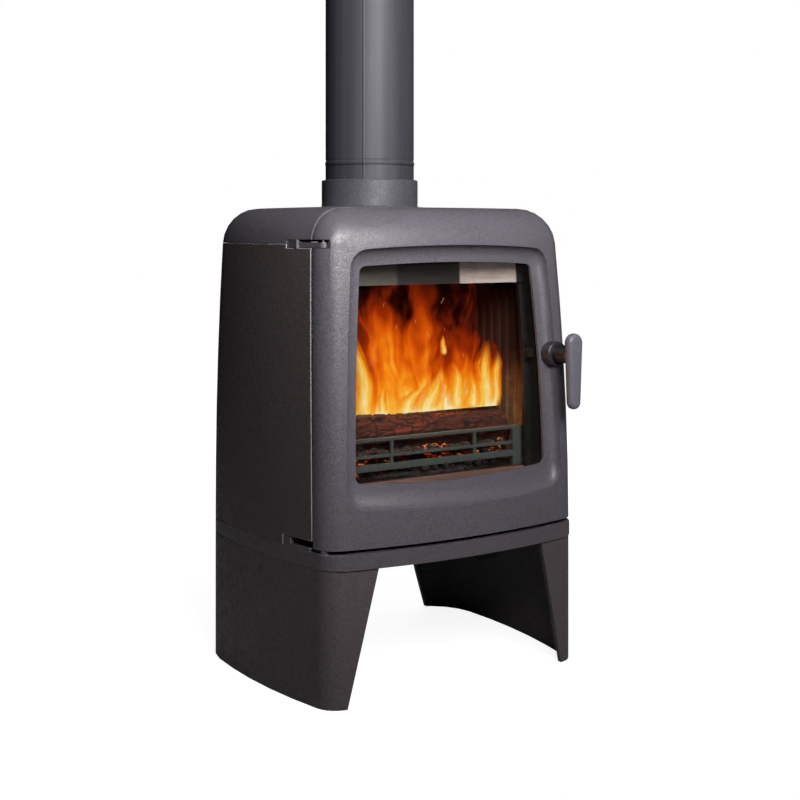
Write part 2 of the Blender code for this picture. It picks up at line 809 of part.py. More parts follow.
def front_frame():
    """Inner frame that the door closes on: a plate with the firebox opening."""
    bm = body_form(-WALL - FIT, PLINTH_TOP + SEAT)
    keep_side(bm, (0, FRAME_SET_BACK, 0), (0, -1, 0))
    keep_side(bm, (0, FRAME_BACK, 0), (0, 1, 0))
    frame = object_from(bm, "front_frame", "cast_inner")
    opening = rounded_panel(FRAME_OPEN_LOW, FRAME_OPEN_HIGH, FRAME_OPEN_HALF, FRAME_OPEN_HALF, 0.012)
    lug = box_object(
        "lug_notch", -0.4, -LUG_INNER + 0.002, -0.1, LUG_BACK + 0.001, 0.1, LUG_TOP + 0.001
    )
    strap = box_object(
        "strap_notch",
        -0.4,
        -(JOINT_HALF - PIVOT_IN - STRAP_HALF - 0.001),
        -0.1,
        0.1,
        SPRING - SLOT_HEIGHT / 2,
        SPRING + SLOT_HEIGHT / 2,
    )
    cut(frame, object_from(flat_prism(opening, -0.1, 0.1), "opening"), lug, strap)
    return lean_casting(frame)


# Hinge

def hinge_point(z):
    """Where the leaning hinge axis is at a height."""
    low = lean((-(JOINT_HALF - PIVOT_IN), -PIVOT_AHEAD, DOOR_BOTTOM))
    high = lean((-(JOINT_HALF - PIVOT_IN), -PIVOT_AHEAD, SPRING))
    return low + (high - low) * ((z - DOOR_BOTTOM) / (SPRING - DOOR_BOTTOM))


def hinge_bore(name, low, high):
    return cylinder_object(name, HINGE_PIN_RADIUS + SEAT, hinge_point(low), hinge_point(high))


def hinge_pins():
    """The pin through the upper strap and the one that stands in the plinth's lug."""
    upper = cylinder_object(
        "hinge_pin_upper",
        HINGE_PIN_RADIUS,
        hinge_point(SPRING - PIN_HALF_LENGTH),
        hinge_point(SPRING + PIN_HALF_LENGTH),
        finish="bright_steel",
    )
    lower = cylinder_object(
        "hinge_pin_lower",
        HINGE_PIN_RADIUS,
        hinge_point(PLINTH_TOP - PIN_SOCKET + SEAT),
        hinge_point(DOOR_BOTTOM + LOWER_PIN_LENGTH),
        finish="bright_steel",
    )
    return shade(upper), shade(lower)


def upper_hinge_strap():
    """Flat strap from its root in the body's slot to a round eye on the upper pin."""
    eye_x, eye_y = -(JOINT_HALF - PIVOT_IN), -PIVOT_AHEAD
    root_x = -(outline_half(STRAP_LENGTH) - 0.002)
    plan = arc((eye_x, eye_y), STRAP_HALF, math.pi, math.tau, 8)
    plan += [Vector((eye_x + STRAP_HALF, STRAP_LENGTH)), Vector((root_x, STRAP_LENGTH))]
    low = SPRING - SLOT_HEIGHT / 2 + STRAP_FOOT_GAP
    high = low + STRAP_THICK
    strap = object_from(upright(plan, low, high), "upper_hinge_strap", "cast_inner")
    root = box_object(
        "root",
        root_x + 0.001,
        eye_x + STRAP_HALF - 0.001,
        STRAP_LENGTH - 0.03,
        STRAP_LENGTH - 0.0005,
        SPRING - SLOT_HEIGHT / 2 + SEAT,
        SPRING + SLOT_HEIGHT / 2 - SEAT,
    )
    join(strap, root)
    lean_casting(strap)
    return shade(cut(strap, hinge_bore("eye", low - 0.01, high + 0.01)))


def outline_half(y):
    """Half the body's width at a depth behind the joint plane, on its bowed side."""
    return BODY_WIDTH / 2 - BOW_RADIUS + math.sqrt(BOW_RADIUS**2 - (y - WIDEST_Y) ** 2)


# Door

def bowed_slab(name, front, back, flat_back=False):
    """A slab that follows the bowed front from depth front to depth back, or to y = back."""
    xs = np.linspace(-BODY_WIDTH / 2, BODY_WIDTH / 2, 20)
    plan = [Vector((x, door_face(x) + front)) for x in xs]
    plan += [Vector((x, back if flat_back else door_face(x) + back)) for x in reversed(xs)]
    return object_from(upright(plan, 0.1, BODY_TOP + 0.1), name)


def bowed_panel(name, contour, front, back, finish=None, flat_back=False):
    """A contour cut out of a bowed slab."""
    slab = bowed_slab(name, front, back, flat_back)
    if finish:
        slab.data.materials.append(finish_for(name, finish))
    return combine(slab, [object_from(flat_prism(contour, -0.3, 0.2), name + "_edge")], "INTERSECT")


def finish_for(name, finish):
    mat = MATERIALS[finish].copy()
    mat.name = name
    return mat


def window_cutter():
    """The recess with its cove, and the window through it."""
    recess, window = recess_contour(), window_contour()
    crisp = 0.001
    rings = [flat_ring(recess, -0.2), bowed_ring(recess, crisp)]
    steps = 5
    for step in range(1, steps + 1):
        angle = math.pi / 2 * step / steps
        depth = crisp + (COVE_DEPTH - crisp) * math.sin(angle)
        rings.append(bowed_ring(blend_contours(recess, window, 1 - math.cos(angle)), depth))
    rings.append(flat_ring(window, 0.1))
    return object_from(loft(rings), "window_cutter")


def seal_ring(name, grow, y0, y1, finish=None):
    """A band round the door's back, grow wider than the seal on both sides."""
    outer = flat_prism(back_contour(SEAL_INSET - grow), y0, y1)
    inner = flat_prism(back_contour(SEAL_INSET + SEAL_WIDTH + grow), y0 - 0.1, y1 + 0.1)
    return ring_object(name, outer, inner, finish)


def hinge_slot_in_door():
    """Room for the strap, from straight behind the pin round to the front as the door swings."""
    x, y = -(JOINT_HALF - PIVOT_IN), -PIVOT_AHEAD
    low, high = SPRING - SLOT_HEIGHT / 2, SPRING + SLOT_HEIGHT / 2
    room = STRAP_HALF + 0.0015
    slot = box_object("door_slot", -0.4, x + SLOT_END, -0.2, 0.1, low, high)
    behind = box_object("slot_behind", -0.4, x + room, y, 0.1, low, high)
    eye = cylinder_object("slot_eye", room, (x, y, low), (x, y, high), steps=20)
    return slot, behind, eye


def door_casting():
    """The bowed door: bullnose rim, coved recess, window, seal groove and hinge seats."""
    bm = body_form(0.0, DOOR_BOTTOM)
    keep_side(bm, (0, -DOOR_GAP, 0), (0, 1, 0))
    rim = [e for e in bm.edges if all(abs(v.co.y + DOOR_GAP) < 1e-6 for v in e.verts)]
    bmesh.ops.bevel(bm, geom=rim, offset=DOOR_EDGE_ROUND, segments=2, affect="EDGES", profile=0.5)
    door = object_from(bm, "door_casting", "cast_body")
    pocket = bowed_panel(
        "pocket", back_contour(FLANGE_WIDTH), COVE_DEPTH + LIP_THICK, 0.1, flat_back=True
    )
    groove = seal_ring("groove", SEAT, -DOOR_GAP - SEAL_DEPTH, 0.1)
    cut(door, groove)
    cut(door, pocket)
    cut(door, window_cutter())
    cut(door, *hinge_slot_in_door())
    lean_casting(door)
    y = collar_back()
    seat = cylinder_object(
        "collar_seat", COLLAR_RADIUS + SEAT, (HANDLE_X, -0.3, HANDLE_Z), (HANDLE_X, y, HANDLE_Z),
        steps=32,
    )
    hole = cylinder_object(
        "spindle_hole", SPINDLE_RADIUS + FIT, (HANDLE_X, -0.3, HANDLE_Z), (HANDLE_X, 0.1, HANDLE_Z)
    )
    upper = hinge_bore("upper_bore", SPRING - PIN_HALF_LENGTH - 0.001, SPRING + PIN_HALF_LENGTH + 0.001)
    lower = hinge_bore("lower_bore", DOOR_BOTTOM - 0.01, DOOR_BOTTOM + LOWER_PIN_LENGTH + 0.001)
    shell = collar_back() + LIP_THICK
    room = cylinder_object(
        "latch_room", HUB_ROOM, (HANDLE_X, shell, HANDLE_Z), (HANDLE_X, 0.1, HANDLE_Z), steps=24
    )
    sweep = box_object(
        "cam_sweep",
        HANDLE_X - CAM_HALF,
        HANDLE_X + CAM_HALF + CAM_PLAY,
        shell + CAM_STANDOFF - CAM_PLAY,
        0.1,
        HANDLE_Z - CAM_REACH - CAM_PLAY,
        HANDLE_Z + CAM_REACH + CAM_PLAY,
    )
    cut(door, seat, hole, room, sweep)
    cut(door, upper, lower)
    return shade(door)


def glass_and_gasket():
    """Ceramic glass behind the lip, on its flat gasket."""
    seat = COVE_DEPTH + LIP_THICK + SEAT
    gasket = bowed_panel(
        "glass_gasket", window_contour(GLASS_MARGIN), seat, seat + GASKET_THICK, "seal_rope"
    )
    inner = object_from(flat_prism(window_contour(0.0015), -0.3, 0.2), "gasket_bore")
    cut(gasket, inner)
    glass_front = seat + GASKET_THICK + SEAT
    glass = bowed_panel(
        "door_glass", window_contour(GLASS_MARGIN), glass_front, glass_front + GLASS_THICK, "glass"
    )
    return lean_casting(gasket), lean_casting(glass)


def glass_clip(number, x, z, toward):
    """Small clip screwed behind the lip, with a finger over the glass's edge."""
    edge = door_face(abs(x) + CLIP_WIDTH / 2)
    seat = edge + COVE_DEPTH + LIP_THICK + SEAT
    over = edge + glass_back() + SEAT
    back = over + CLIP_THICK
    heights = sorted((z, z + toward * CLIP_FOOT))
    clip = box_object(
        f"glass_clip_{number}", *middle(x, CLIP_WIDTH), seat, back, *heights, finish="black_steel"
    )
    heights = sorted((z + toward * CLIP_FOOT / 2, z - toward * CLIP_FINGER))
    finger = box_object("finger", *middle(x, CLIP_WIDTH * 0.8), over, back - 0.0002, *heights)
    middle_z = z + toward * CLIP_FOOT / 2
    screw = cylinder_object(
        "screw", 0.0035, (x, over, middle_z), (x, back + 0.0025, middle_z), steps=8
    )
    join(clip, finger, screw)
    return lean_casting(clip)


def glass_clips():
    """Two clips above the glass and two below, on its bowed edges."""
    made = []
    for toward, edge in ((1, WINDOW_HIGH + GLASS_MARGIN), (-1, WINDOW_LOW - GLASS_MARGIN)):
        for side in (-1, 1):
            rise = EDGE_BOW * (CLIP_X - CLIP_WIDTH / 2) ** 2
            z = edge + toward * (FIT - rise)
            made.append(glass_clip(len(made) + 1, side * CLIP_X, z, toward))
    return made


def glass_back():
    return COVE_DEPTH + LIP_THICK + 2 * SEAT + GASKET_THICK + GLASS_THICK


def door_seal():
    """Heat-resistant rope in the groove, pressed towards the frame."""
    front = -DOOR_GAP - SEAL_DEPTH + SEAT
    rope = seal_ring("door_seal", -SEAT, front, FRAME_SET_BACK - FIT, "seal_rope")
    return lean_casting(rope)


# Handle and latch

def collar_back():
    """Depth of the flat seat that the handle's collar stands on, on the leaned door."""
    return lean((0, door_face(HANDLE_X) + COVE_DEPTH, HANDLE_Z)).y


def along_spindle(name, radius, y0, y1, finish=None, steps=24, top=None):
    return cylinder_object(
        name, radius, (HANDLE_X, y0, HANDLE_Z), (HANDLE_X, y1, HANDLE_Z), steps=steps, finish=finish,
        top=top,
    )


def handle_collar():
    """Round collar on the door that the handle turns in."""
    back = collar_back() - SEAT
    front = collar_back() - COLLAR_LENGTH
    bm = cylinder(COLLAR_RADIUS, (HANDLE_X, front, HANDLE_Z), (HANDLE_X, back, HANDLE_Z), steps=32)
    rim = [e for e in bm.edges if all(abs(v.co.y - front) < 1e-6 for v in e.verts)]
    bmesh.ops.bevel(bm, geom=rim, offset=0.0015, segments=1, affect="EDGES", profile=0.5)
    collar = object_from(bm, "handle_collar", "cast_inner")
    return shade(cut(collar, along_spindle("bore", SPINDLE_RADIUS + FIT, front - 0.1, back + 0.1)))


def paddle_plan(inset=0.0):
    """Teardrop in front view, hanging below the spindle, drawn in by inset."""
    top, low = PADDLE_TOP_HALF, PADDLE_LOW_HALF
    z_top = HANDLE_Z + PADDLE_ABOVE - top
    z_low = HANDLE_Z + PADDLE_ABOVE - PADDLE_LENGTH + low
    tilt = math.asin((top - low) / (z_top - z_low))
    plan = arc((HANDLE_X, z_top), top - inset, -tilt, math.pi + tilt, 12)
    plan += arc((HANDLE_X, z_low), low - inset, math.pi + tilt, math.tau - tilt, 8)
    return plan


def handle_grip():
    """Soft-edged paddle on a short round stem that widens into it."""
    root = collar_back() - COLLAR_LENGTH - SEAT
    back = root - STEM_LENGTH
    front = back - PADDLE_THICK
    steps = 4
    rings = []
    for step in range(steps, -1, -1):
        angle = math.pi / 2 * step / steps
        inset = PADDLE_ROUND * (1 - math.cos(angle))
        rings.append(flat_ring(paddle_plan(inset), front + PADDLE_ROUND * (1 - math.sin(angle))))
    for step in range(steps + 1):
        angle = math.pi / 2 * step / steps
        inset = PADDLE_ROUND * (1 - math.cos(angle))
        rings.append(flat_ring(paddle_plan(inset), back - PADDLE_ROUND * (1 - math.sin(angle))))
    grip = object_from(loft(rings), "handle_grip", "cast_inner")
    stem = along_spindle("stem", STEM_RADIUS, root, back - 0.005, steps=24, top=STEM_RADIUS * 1.06)
    join(grip, stem)
    socket = along_spindle("socket", SPINDLE_RADIUS + SEAT, root + 0.1, root - STEM_LENGTH / 2, steps=12)
    return shade(cut(grip, socket))


def latch():
    """Spindle through the door, with the latch cam and its nut behind."""
    shell = collar_back() + LIP_THICK
    cam_front = shell + CAM_STANDOFF
    cam_back = cam_front + CAM_THICK
    nut_back = cam_back + 0.005
    root = collar_back() - COLLAR_LENGTH - SEAT
    spindle = along_spindle(
        "latch_spindle", SPINDLE_RADIUS, root - STEM_LENGTH / 2 + SEAT, nut_back + 0.001, "bright_steel",
        steps=12,
    )
    cam = box_object(
        "latch_cam",
        HANDLE_X - CAM_REACH,
        HANDLE_X,
        cam_front,
        cam_back,
        HANDLE_Z - CAM_HALF,
        HANDLE_Z + CAM_HALF,
        finish="black_steel",
    )
    hub = along_spindle("hub", HUB_RADIUS, shell + SEAT, cam_back - 0.0005, steps=20)
    join(cam, hub)
    cut(cam, along_spindle("cam_bore", SPINDLE_RADIUS + SEAT, shell - 0.1, cam_back + 0.1, steps=12))
    nut = along_spindle("spindle_nut", HUB_RADIUS, cam_back + SEAT, nut_back, "bright_steel", steps=6)
    cut(nut, along_spindle("nut_bore", SPINDLE_RADIUS + SEAT, cam_back - 0.1, nut_back + 0.1, steps=12))
    return shade(spindle), shade(cam), shade(nut)


def latch_keeper():
    """Catch on the frame, whose post stands beside the end of the latch cam."""
    shell = collar_back() + LIP_THICK
    seat = lean((0, FRAME_SET_BACK, HANDLE_Z + KEEPER_HALF)).y
    seat = min(seat, lean((0, FRAME_SET_BACK, HANDLE_Z - KEEPER_HALF)).y) - SEAT
    end = HANDLE_X - CAM_REACH - KEEPER_GAP
    keeper = box_object(
        "latch_keeper",
        end - KEEPER_POST,
        end,
        shell + CAM_STANDOFF - 0.002,
        seat,
        HANDLE_Z - KEEPER_HALF * 0.5,
        HANDLE_Z + KEEPER_HALF * 0.5,
        finish="black_steel",
        bevel=0.001,
    )
    foot = box_object(
        "foot",
        end - KEEPER_POST + 0.0002,
        end + 0.016,
        seat - 0.003,
        seat - 0.0002,
        HANDLE_Z - KEEPER_HALF,
        HANDLE_Z + KEEPER_HALF,
    )
    return shade(join(keeper, foot))


# Flue

def flue_collar():
    """Cast collar: a nose in the top's hole, a screwed flange and a socket for the pipe."""
    bore = PIPE_RADIUS + FIT
    rim = bore + SPIGOT_WALL
    throat = PIPE_RADIUS - 0.005
    low = BODY_TOP + SEAT
    stop = COLLAR_TOP - PIPE_INSERT - SEAT
    profile = [
        (throat, BODY_TOP - 0.005),
        (FLUE_HOLE - FIT, BODY_TOP - 0.005),
        (FLUE_HOLE - FIT, low),
        (rim + SPIGOT_FLANGE, low),
        (rim + SPIGOT_FLANGE, low + FLANGE_THICK),
        (rim + 0.002, low + FLANGE_THICK),
        (rim, low + FLANGE_THICK + 0.002),
        (rim, COLLAR_TOP - 0.0015),
        (rim - 0.0015, COLLAR_TOP),
        (bore + 0.001, COLLAR_TOP),
        (bore, COLLAR_TOP - 0.001),
        (bore, stop),
        (throat, stop),
    ]
    collar = turned("flue_collar", profile, (0, FLUE_Y), "cast_body")
    cutters = [screw_shank(number, SEAT) for number in (1, 2, 3)]
    cutters += [screw_head(number, SEAT) for number in (1, 2, 3)]
    return shade(cut(collar, *cutters))


def screw_place(number):
    angle = math.tau * (number - 0.3) / 3
    reach = PIPE_RADIUS + FIT + SPIGOT_WALL + SPIGOT_FLANGE * 0.60
    return reach * math.cos(angle), FLUE_Y + reach * math.sin(angle)


def screw_shank(number, grow):
    x, y = screw_place(number)
    low = BODY_TOP - WALL - 0.005 - grow
    high = screw_top() - FLANGE_THICK * 0.3
    return cylinder_object(f"shank_{number}", SCREW_RADIUS + grow, (x, y, low), (x, y, high), steps=10)


def screw_head(number, grow, finish=None):
    x, y = screw_place(number)
    low = screw_top() - FLANGE_THICK * 0.6 - grow
    name = f"head_{number}" if finish is None else f"collar_screw_{number}"
    high = screw_top() + (0.1 if grow else 0.0)
    return cylinder_object(name, SCREW_HEAD + grow, (x, y, low), (x, y, high), steps=14, finish=finish)


def screw_top():
    return BODY_TOP + SEAT + FLANGE_THICK


def collar_screw(number):
    """Flat-headed screw through the collar's flange into the top."""
    head = screw_head(number, 0.0, "black_steel")
    shank = screw_shank(number, 0.0)
    return shade(join(head, shank))


def flue_pipe():
    """Plain pipe with one rolled bead, standing in the collar."""
    low = COLLAR_TOP - PIPE_INSERT
    high = low + PIPE_LENGTH
    bead = COLLAR_TOP + BEAD_HEIGHT
    outer, inner = PIPE_RADIUS, PIPE_RADIUS - PIPE_WALL
    profile = [
        (inner, low),
        (outer, low),
        (outer, bead - BEAD_HALF),
        (outer + BEAD_PROUD, bead - BEAD_HALF * 0.5),
        (outer + BEAD_PROUD, bead + BEAD_HALF * 0.1),
        (outer - BEAD_PROUD, bead + BEAD_HALF * 0.4),
        (outer - BEAD_PROUD, bead + BEAD_HALF * 0.6),
        (outer, bead + BEAD_HALF),
        (outer, high),
        (inner, high),
    ]
    return turned("flue_pipe", profile, (0, FLUE_Y), "flue_steel")


# Firebox

def hearth_front():
    """Where the firebox floor starts, behind the leaning frame."""
    return lean((0, FRAME_BACK, HEARTH_TOP)).y + FIT


def clipped_plan(half, front, back, clip):
    """Plan of a plate whose rear corners are cut off to clear the body's round corners."""
    return [
        Vector((-half, front)),
        Vector((half, front)),
        Vector((half, back - clip * 1.3)),
        Vector((half - clip, back)),
        Vector((clip - half, back)),
        Vector((-half, back - clip * 1.3)),
    ]


def firebox_floor():
    """Hearth plate on two webs, with the grate's seat and the ash pan's runners."""
    half = BRICK_INNER + BRICK_THICK + 0.0015
    front = hearth_front()
    under = HEARTH_TOP - HEARTH_THICK
    plan = clipped_plan(half, front, HEARTH_BACK, BRICK_THICK)
    floor = object_from(upright(plan, under, HEARTH_TOP), "firebox_floor", "cast_inner")
    pieces = []
    for side in (-1, 1):
        web = sorted((side * PIT_HALF, side * (PIT_HALF + WEB_THICK)))
        pieces.append(
            box_object("web", *web, front + 0.001, HEARTH_BACK - 0.02, PLINTH_TOP + SEAT, under + 0.002)
        )
        runner = sorted((side * (PAN_HALF - 0.012), side * (PIT_HALF + 0.003)))
        pieces.append(
            box_object(
                "runner", *runner, front + 0.012, HEARTH_BACK - 0.03, PAN_LOW - SEAT - 0.003, PAN_LOW - SEAT
            )
        )
    join(floor, *pieces)
    ledge = GRATE_LEDGE
    hole = box_object(
        "grate_hole",
        *middle(0, 2 * (GRATE_HALF_X - ledge + FIT)),
        *middle(GRATE_MID_Y, 2 * (GRATE_HALF_Y - ledge + FIT)),
        PAN_LOW + 0.01,
        HEARTH_TOP + 0.1,
    )
    rebate = box_object(
        "grate_rebate",
        *middle(0, 2 * (GRATE_HALF_X + FIT)),
        *middle(GRATE_MID_Y, 2 * (GRATE_HALF_Y + FIT)),
        HEARTH_TOP - GRATE_RIM,
        HEARTH_TOP + 0.1,
    )
    return shade(cut(floor, hole, rebate))


def grate():
    """Slotted grate, hung by its rim in the floor."""
    rim_low = HEARTH_TOP - GRATE_RIM + SEAT
    plate = box_object(
        "grate",
        -GRATE_HALF_X,
        GRATE_HALF_X,
        *middle(GRATE_MID_Y, 2 * GRATE_HALF_Y),
        rim_low,
        HEARTH_TOP,
        finish="cast_inner",
    )
    bars = box_object(
        "bars",
        *middle(0, 2 * (GRATE_HALF_X - GRATE_LEDGE)),
        *middle(GRATE_MID_Y, 2 * (GRATE_HALF_Y - GRATE_LEDGE)),
        HEARTH_TOP - HEARTH_THICK - 0.003,
        HEARTH_TOP - 0.001,
    )
    join(plate, bars)
    pitch = 2 * (GRATE_HALF_X - GRATE_LEDGE) / GRATE_SLOTS
    slots = [
        box_object(
            f"slot_{i}",
            *middle((i - (GRATE_SLOTS - 1) / 2) * pitch, pitch * 0.5),
            *middle(GRATE_MID_Y, 2 * (GRATE_HALF_Y - GRATE_LEDGE - GRATE_END)),
            0.2,
            0.4,
        )
        for i in range(GRATE_SLOTS)
    ]
    return shade(cut(plate, *slots))


def ash_pan():
    """Folded pan below the grate, with a pull on its front."""
    front = hearth_front() + 0.004
    high = PAN_LOW + PAN_HEIGHT
    pan = box_object(
        "ash_pan", -PAN_HALF, PAN_HALF, front, front + PAN_DEPTH, PAN_LOW, high, finish="black_steel"
    )
    inside = box_object(
        "pan_room",
        -PAN_HALF + PAN_WALL,
        PAN_HALF - PAN_WALL,
        front + PAN_WALL,
        front + PAN_DEPTH - PAN_WALL,
        PAN_LOW + PAN_WALL,
        high + 0.1,
    )
    cut(pan, inside)
    pull = box_object(
        "pull", *middle(0, 0.070), front - 0.010, front + PAN_WALL / 2, high - 0.0125, high - 0.0095
    )
    return shade(join(pan, pull))


def flutes(start, end, face, depth):
    """Points of a ribbed face from start to end: round grooves between flat ribs."""
    count = round((end - start) / FLUTE_PITCH)
    pitch = (end - start) / count
    points = [(start, face)]
    for i in range(count):
        low = start + pitch * (i + 0.22)
        high = start + pitch * (i + 0.78)
        for share in (0.0, 0.2, 0.5, 0.8, 1.0):
            points.append((low + (high - low) * share, face + depth * math.sin(math.pi * share)))
    points.append((end, face))
    return points


def fire_brick_side(side):
    """Ribbed lining brick between the floor and the baffle."""
    rib = flutes(BRICK_FRONT_Y, BRICK_BACK_Y - SEAT, BRICK_INNER, FLUTE_DEPTH)
    plan = [Vector((side * x, y)) for y, x in rib]
    outer = side * (BRICK_INNER + BRICK_THICK)
    plan += [Vector((outer, BRICK_BACK_Y - SEAT)), Vector((outer, BRICK_FRONT_Y))]
    name = "fire_brick_right" if side > 0 else "fire_brick_left"
    return shade(object_from(upright(plan, HEARTH_TOP + SEAT, BRICK_TOP), name, "firebrick"))


def fire_brick_rear():
    """Ribbed lining brick across the back."""
    half = BRICK_INNER + BRICK_THICK
    rib = flutes(-half, half, BRICK_BACK_Y, FLUTE_DEPTH)
    plan = [Vector(point) for point in rib]
    back, narrow = BRICK_BACK_Y + BRICK_THICK, half - BRICK_THICK
    plan += [Vector((half, BRICK_BACK_Y + FLUTE_DEPTH * 2)), Vector((narrow, back))]
    plan += [Vector((-narrow, back)), Vector((-half, BRICK_BACK_Y + FLUTE_DEPTH * 2))]
    bm = upright(plan, HEARTH_TOP + SEAT, BRICK_TOP)
    return shade(object_from(bm, "fire_brick_rear", "firebrick"))


def baffle_plate():
    """Thick plate on the bricks that sends the smoke forward before it reaches the flue."""
    plan = clipped_plan(BAFFLE_HALF, BAFFLE_FRONT_Y, BRICK_BACK_Y + BRICK_THICK, BRICK_THICK)
    bm = upright(plan, BRICK_TOP + SEAT, BRICK_TOP + SEAT + BAFFLE_THICK)
    bmesh.ops.bevel(bm, geom=bm.edges[:], offset=0.002, segments=1, affect="EDGES", profile=0.5)
    return shade(object_from(bm, "baffle_plate", "firebrick"))


def airwash_plate():
    """Plate on the frame above the window that sends air down the glass."""
    edge = rounded_panel(AIRWASH_LOW, AIRWASH_HIGH, AIRWASH_HALF, AIRWASH_HALF, 0.012)
    back = FRAME_SET_BACK - SEAT
    bm = flat_prism(edge, back - AIRWASH_THICK, back)
    return lean_casting(object_from(bm, "airwash_plate", "cast_inner"))


def log_guard():
    """Three rails between end blocks, standing on the floor behind the glass."""
    low = HEARTH_TOP + SEAT
    guard = box_object(
        "log_guard", GUARD_END, GUARD_HALF, *middle(GUARD_Y, 0.010), low, GUARD_TOP, finish="cast_inner",
        bevel=0.0013,
    )
    pieces = [
        box_object(
            "end", -GUARD_HALF, -GUARD_END, *middle(GUARD_Y, 0.010), low, GUARD_TOP, bevel=0.0013
        )
    ]
    reach = GUARD_END + 0.004
    for z0, z1, deep in GUARD_RAILS:
        pieces.append(box_object("rail", -reach, reach, *middle(GUARD_Y, deep), z0, z1, bevel=0.0008))
    for side in (-1, 1):
        post = middle(side * GUARD_POST_X, 0.005)
        z0, z1 = GUARD_RAILS[0][0] + 0.003, GUARD_TOP - 0.002
        pieces.append(box_object("post", *post, *middle(GUARD_Y, 0.0045), z0, z1))
    return shade(join(guard, *pieces))


def ember_bed():
    """Low mound of embers on floor and grate."""
    low, high = HEARTH_TOP + SEAT, BED_TOP
    mid_y = BED_FRONT_Y + BED_HALF_Y
    rings = []
    for share, size in ((0.0, 1.0), (0.45, 0.97), (0.8, 0.90), (1.0, 0.78)):
        ring = []
        for step in range(28):
            angle = math.tau * step / 28
            wave = 1 - 0.04 * (1 + math.sin(5 * angle + 3 * share)) / 2
            x = BED_HALF_X * size * wave * squared(math.cos(angle))
            y = BED_HALF_Y * size * wave * squared(math.sin(angle))
            ring.append((x, mid_y + y, low + (high - low) * share))
        rings.append(ring)
    return shade(object_from(loft(rings), "ember_bed", "embers"))


def squared(value):
    """Bends a circle's sine or cosine towards a rounded square."""
    return math.copysign(abs(value) ** 0.6, value)


def log_section(radius, turn, sides=14):
    """Section of a split log about its middle, in (y, z)."""
    points = []
    for step in range(sides):
        angle = math.tau * step / sides + turn
        r = radius * (1 - 0.04 * (1 + math.sin(3 * angle)))
        points.append(Vector((r * math.cos(angle), r * math.sin(angle))))
    return points


def placed(section, y, z):
    return [p + Vector((y, z)) for p in section]


def height_over(below, y):
    """Height of a section's upper side at y, or None beside it."""
    found = None
    for a, b in zip(below, below[1:] + below[:1]):
        if min(a.x, b.x) <= y <= max(a.x, b.x) and a.x != b.x:
            z = a.y + (b.y - a.y) * (y - a.x) / (b.x - a.x)
            found = z if found is None else max(found, z)
    return found


def rest_height(section, y, below):
    """Height of a section's middle when it is lowered at y until it lies on the one below."""
    drops = []
    flipped = [Vector((p.x, -p.y)) for p in section]
    for p in section:
        top = height_over(below, y + p.x)
        if top is not None:
            drops.append(top - p.y)
    for p in below:
        foot = height_over(flipped, p.x - y)
        if foot is not None:
            drops.append(p.y + foot)
    return max(drops) + SEAT


def log(name, section, y, z, shift):
    rings = []
    for x in (-LOG_LENGTH / 2, LOG_LENGTH / 2):
        rings.append([(x + shift, p.x, p.y) for p in placed(section, y, z)])
    return shade(object_from(loft(rings), name, "bark"), 30)


def logs():
    """Two logs on the embers and a third in the hollow between them."""
    first, second, third = (log_section(r, turn) for r, turn in zip(LOG_RADII, (0.2, 0.9, 0.5)))
    front_z, rear_z = (BED_TOP + SEAT - min(p.y for p in section) for section in (first, second))
    front, rear = placed(first, LOG_Y[0], front_z), placed(second, LOG_Y[1], rear_z)
    low_y, high_y = LOG_Y
    for _ in range(24):
        y = (low_y + high_y) / 2
        if rest_height(third, y, front) > rest_height(third, y, rear):
            low_y = y
        else:
            high_y = y
    top_z = max(rest_height(third, y, front), rest_height(third, y, rear))
    return (
        log("log_front", first, LOG_Y[0], front_z, 0.004),
        log("log_rear", second, LOG_Y[1], rear_z, -0.010),
        log("log_top", third, y, top_z, 0.012),
    )


# Air controls

def air_slide(side):
    """Slide below the plinth with its window, and the tab that hangs in front."""
    top = WEB_UNDER - SEAT
    low = top - AIR_THICK
    name = "air_slide_right" if side > 0 else "air_slide_left"
    slide = box_object(
        name, *middle(side * AIR_X, AIR_PLATE), AIR_Y, AIR_Y + AIR_DEPTH, low, top, finish="black_steel"
    )
    foot = BASE_HEIGHT - AIR_TAB_DROP
    half = AIR_TAB_WIDTH / 2
    radius = 0.004
    tab = arc((side * AIR_X - half + radius, foot + radius), radius, math.pi, math.pi * 1.5, 3)
    tab += arc((side * AIR_X + half - radius, foot + radius), radius, math.pi * 1.5, math.tau, 3)
    tab += [Vector((side * AIR_X + half, top - 0.001)), Vector((side * AIR_X - half, top - 0.001))]
    join(slide, object_from(flat_prism(tab, AIR_Y + 0.0001, AIR_Y + AIR_TAB_THICK), "tab"))
    window = box_object(
        "window",
        *middle(side * (AIR_X - AIR_TRAVEL), AIR_PORT_WIDTH),
        *middle(AIR_PORT_Y, AIR_PORT_DEPTH),
        0.1,
        0.4,
    )
    return shade(cut(slide, window))


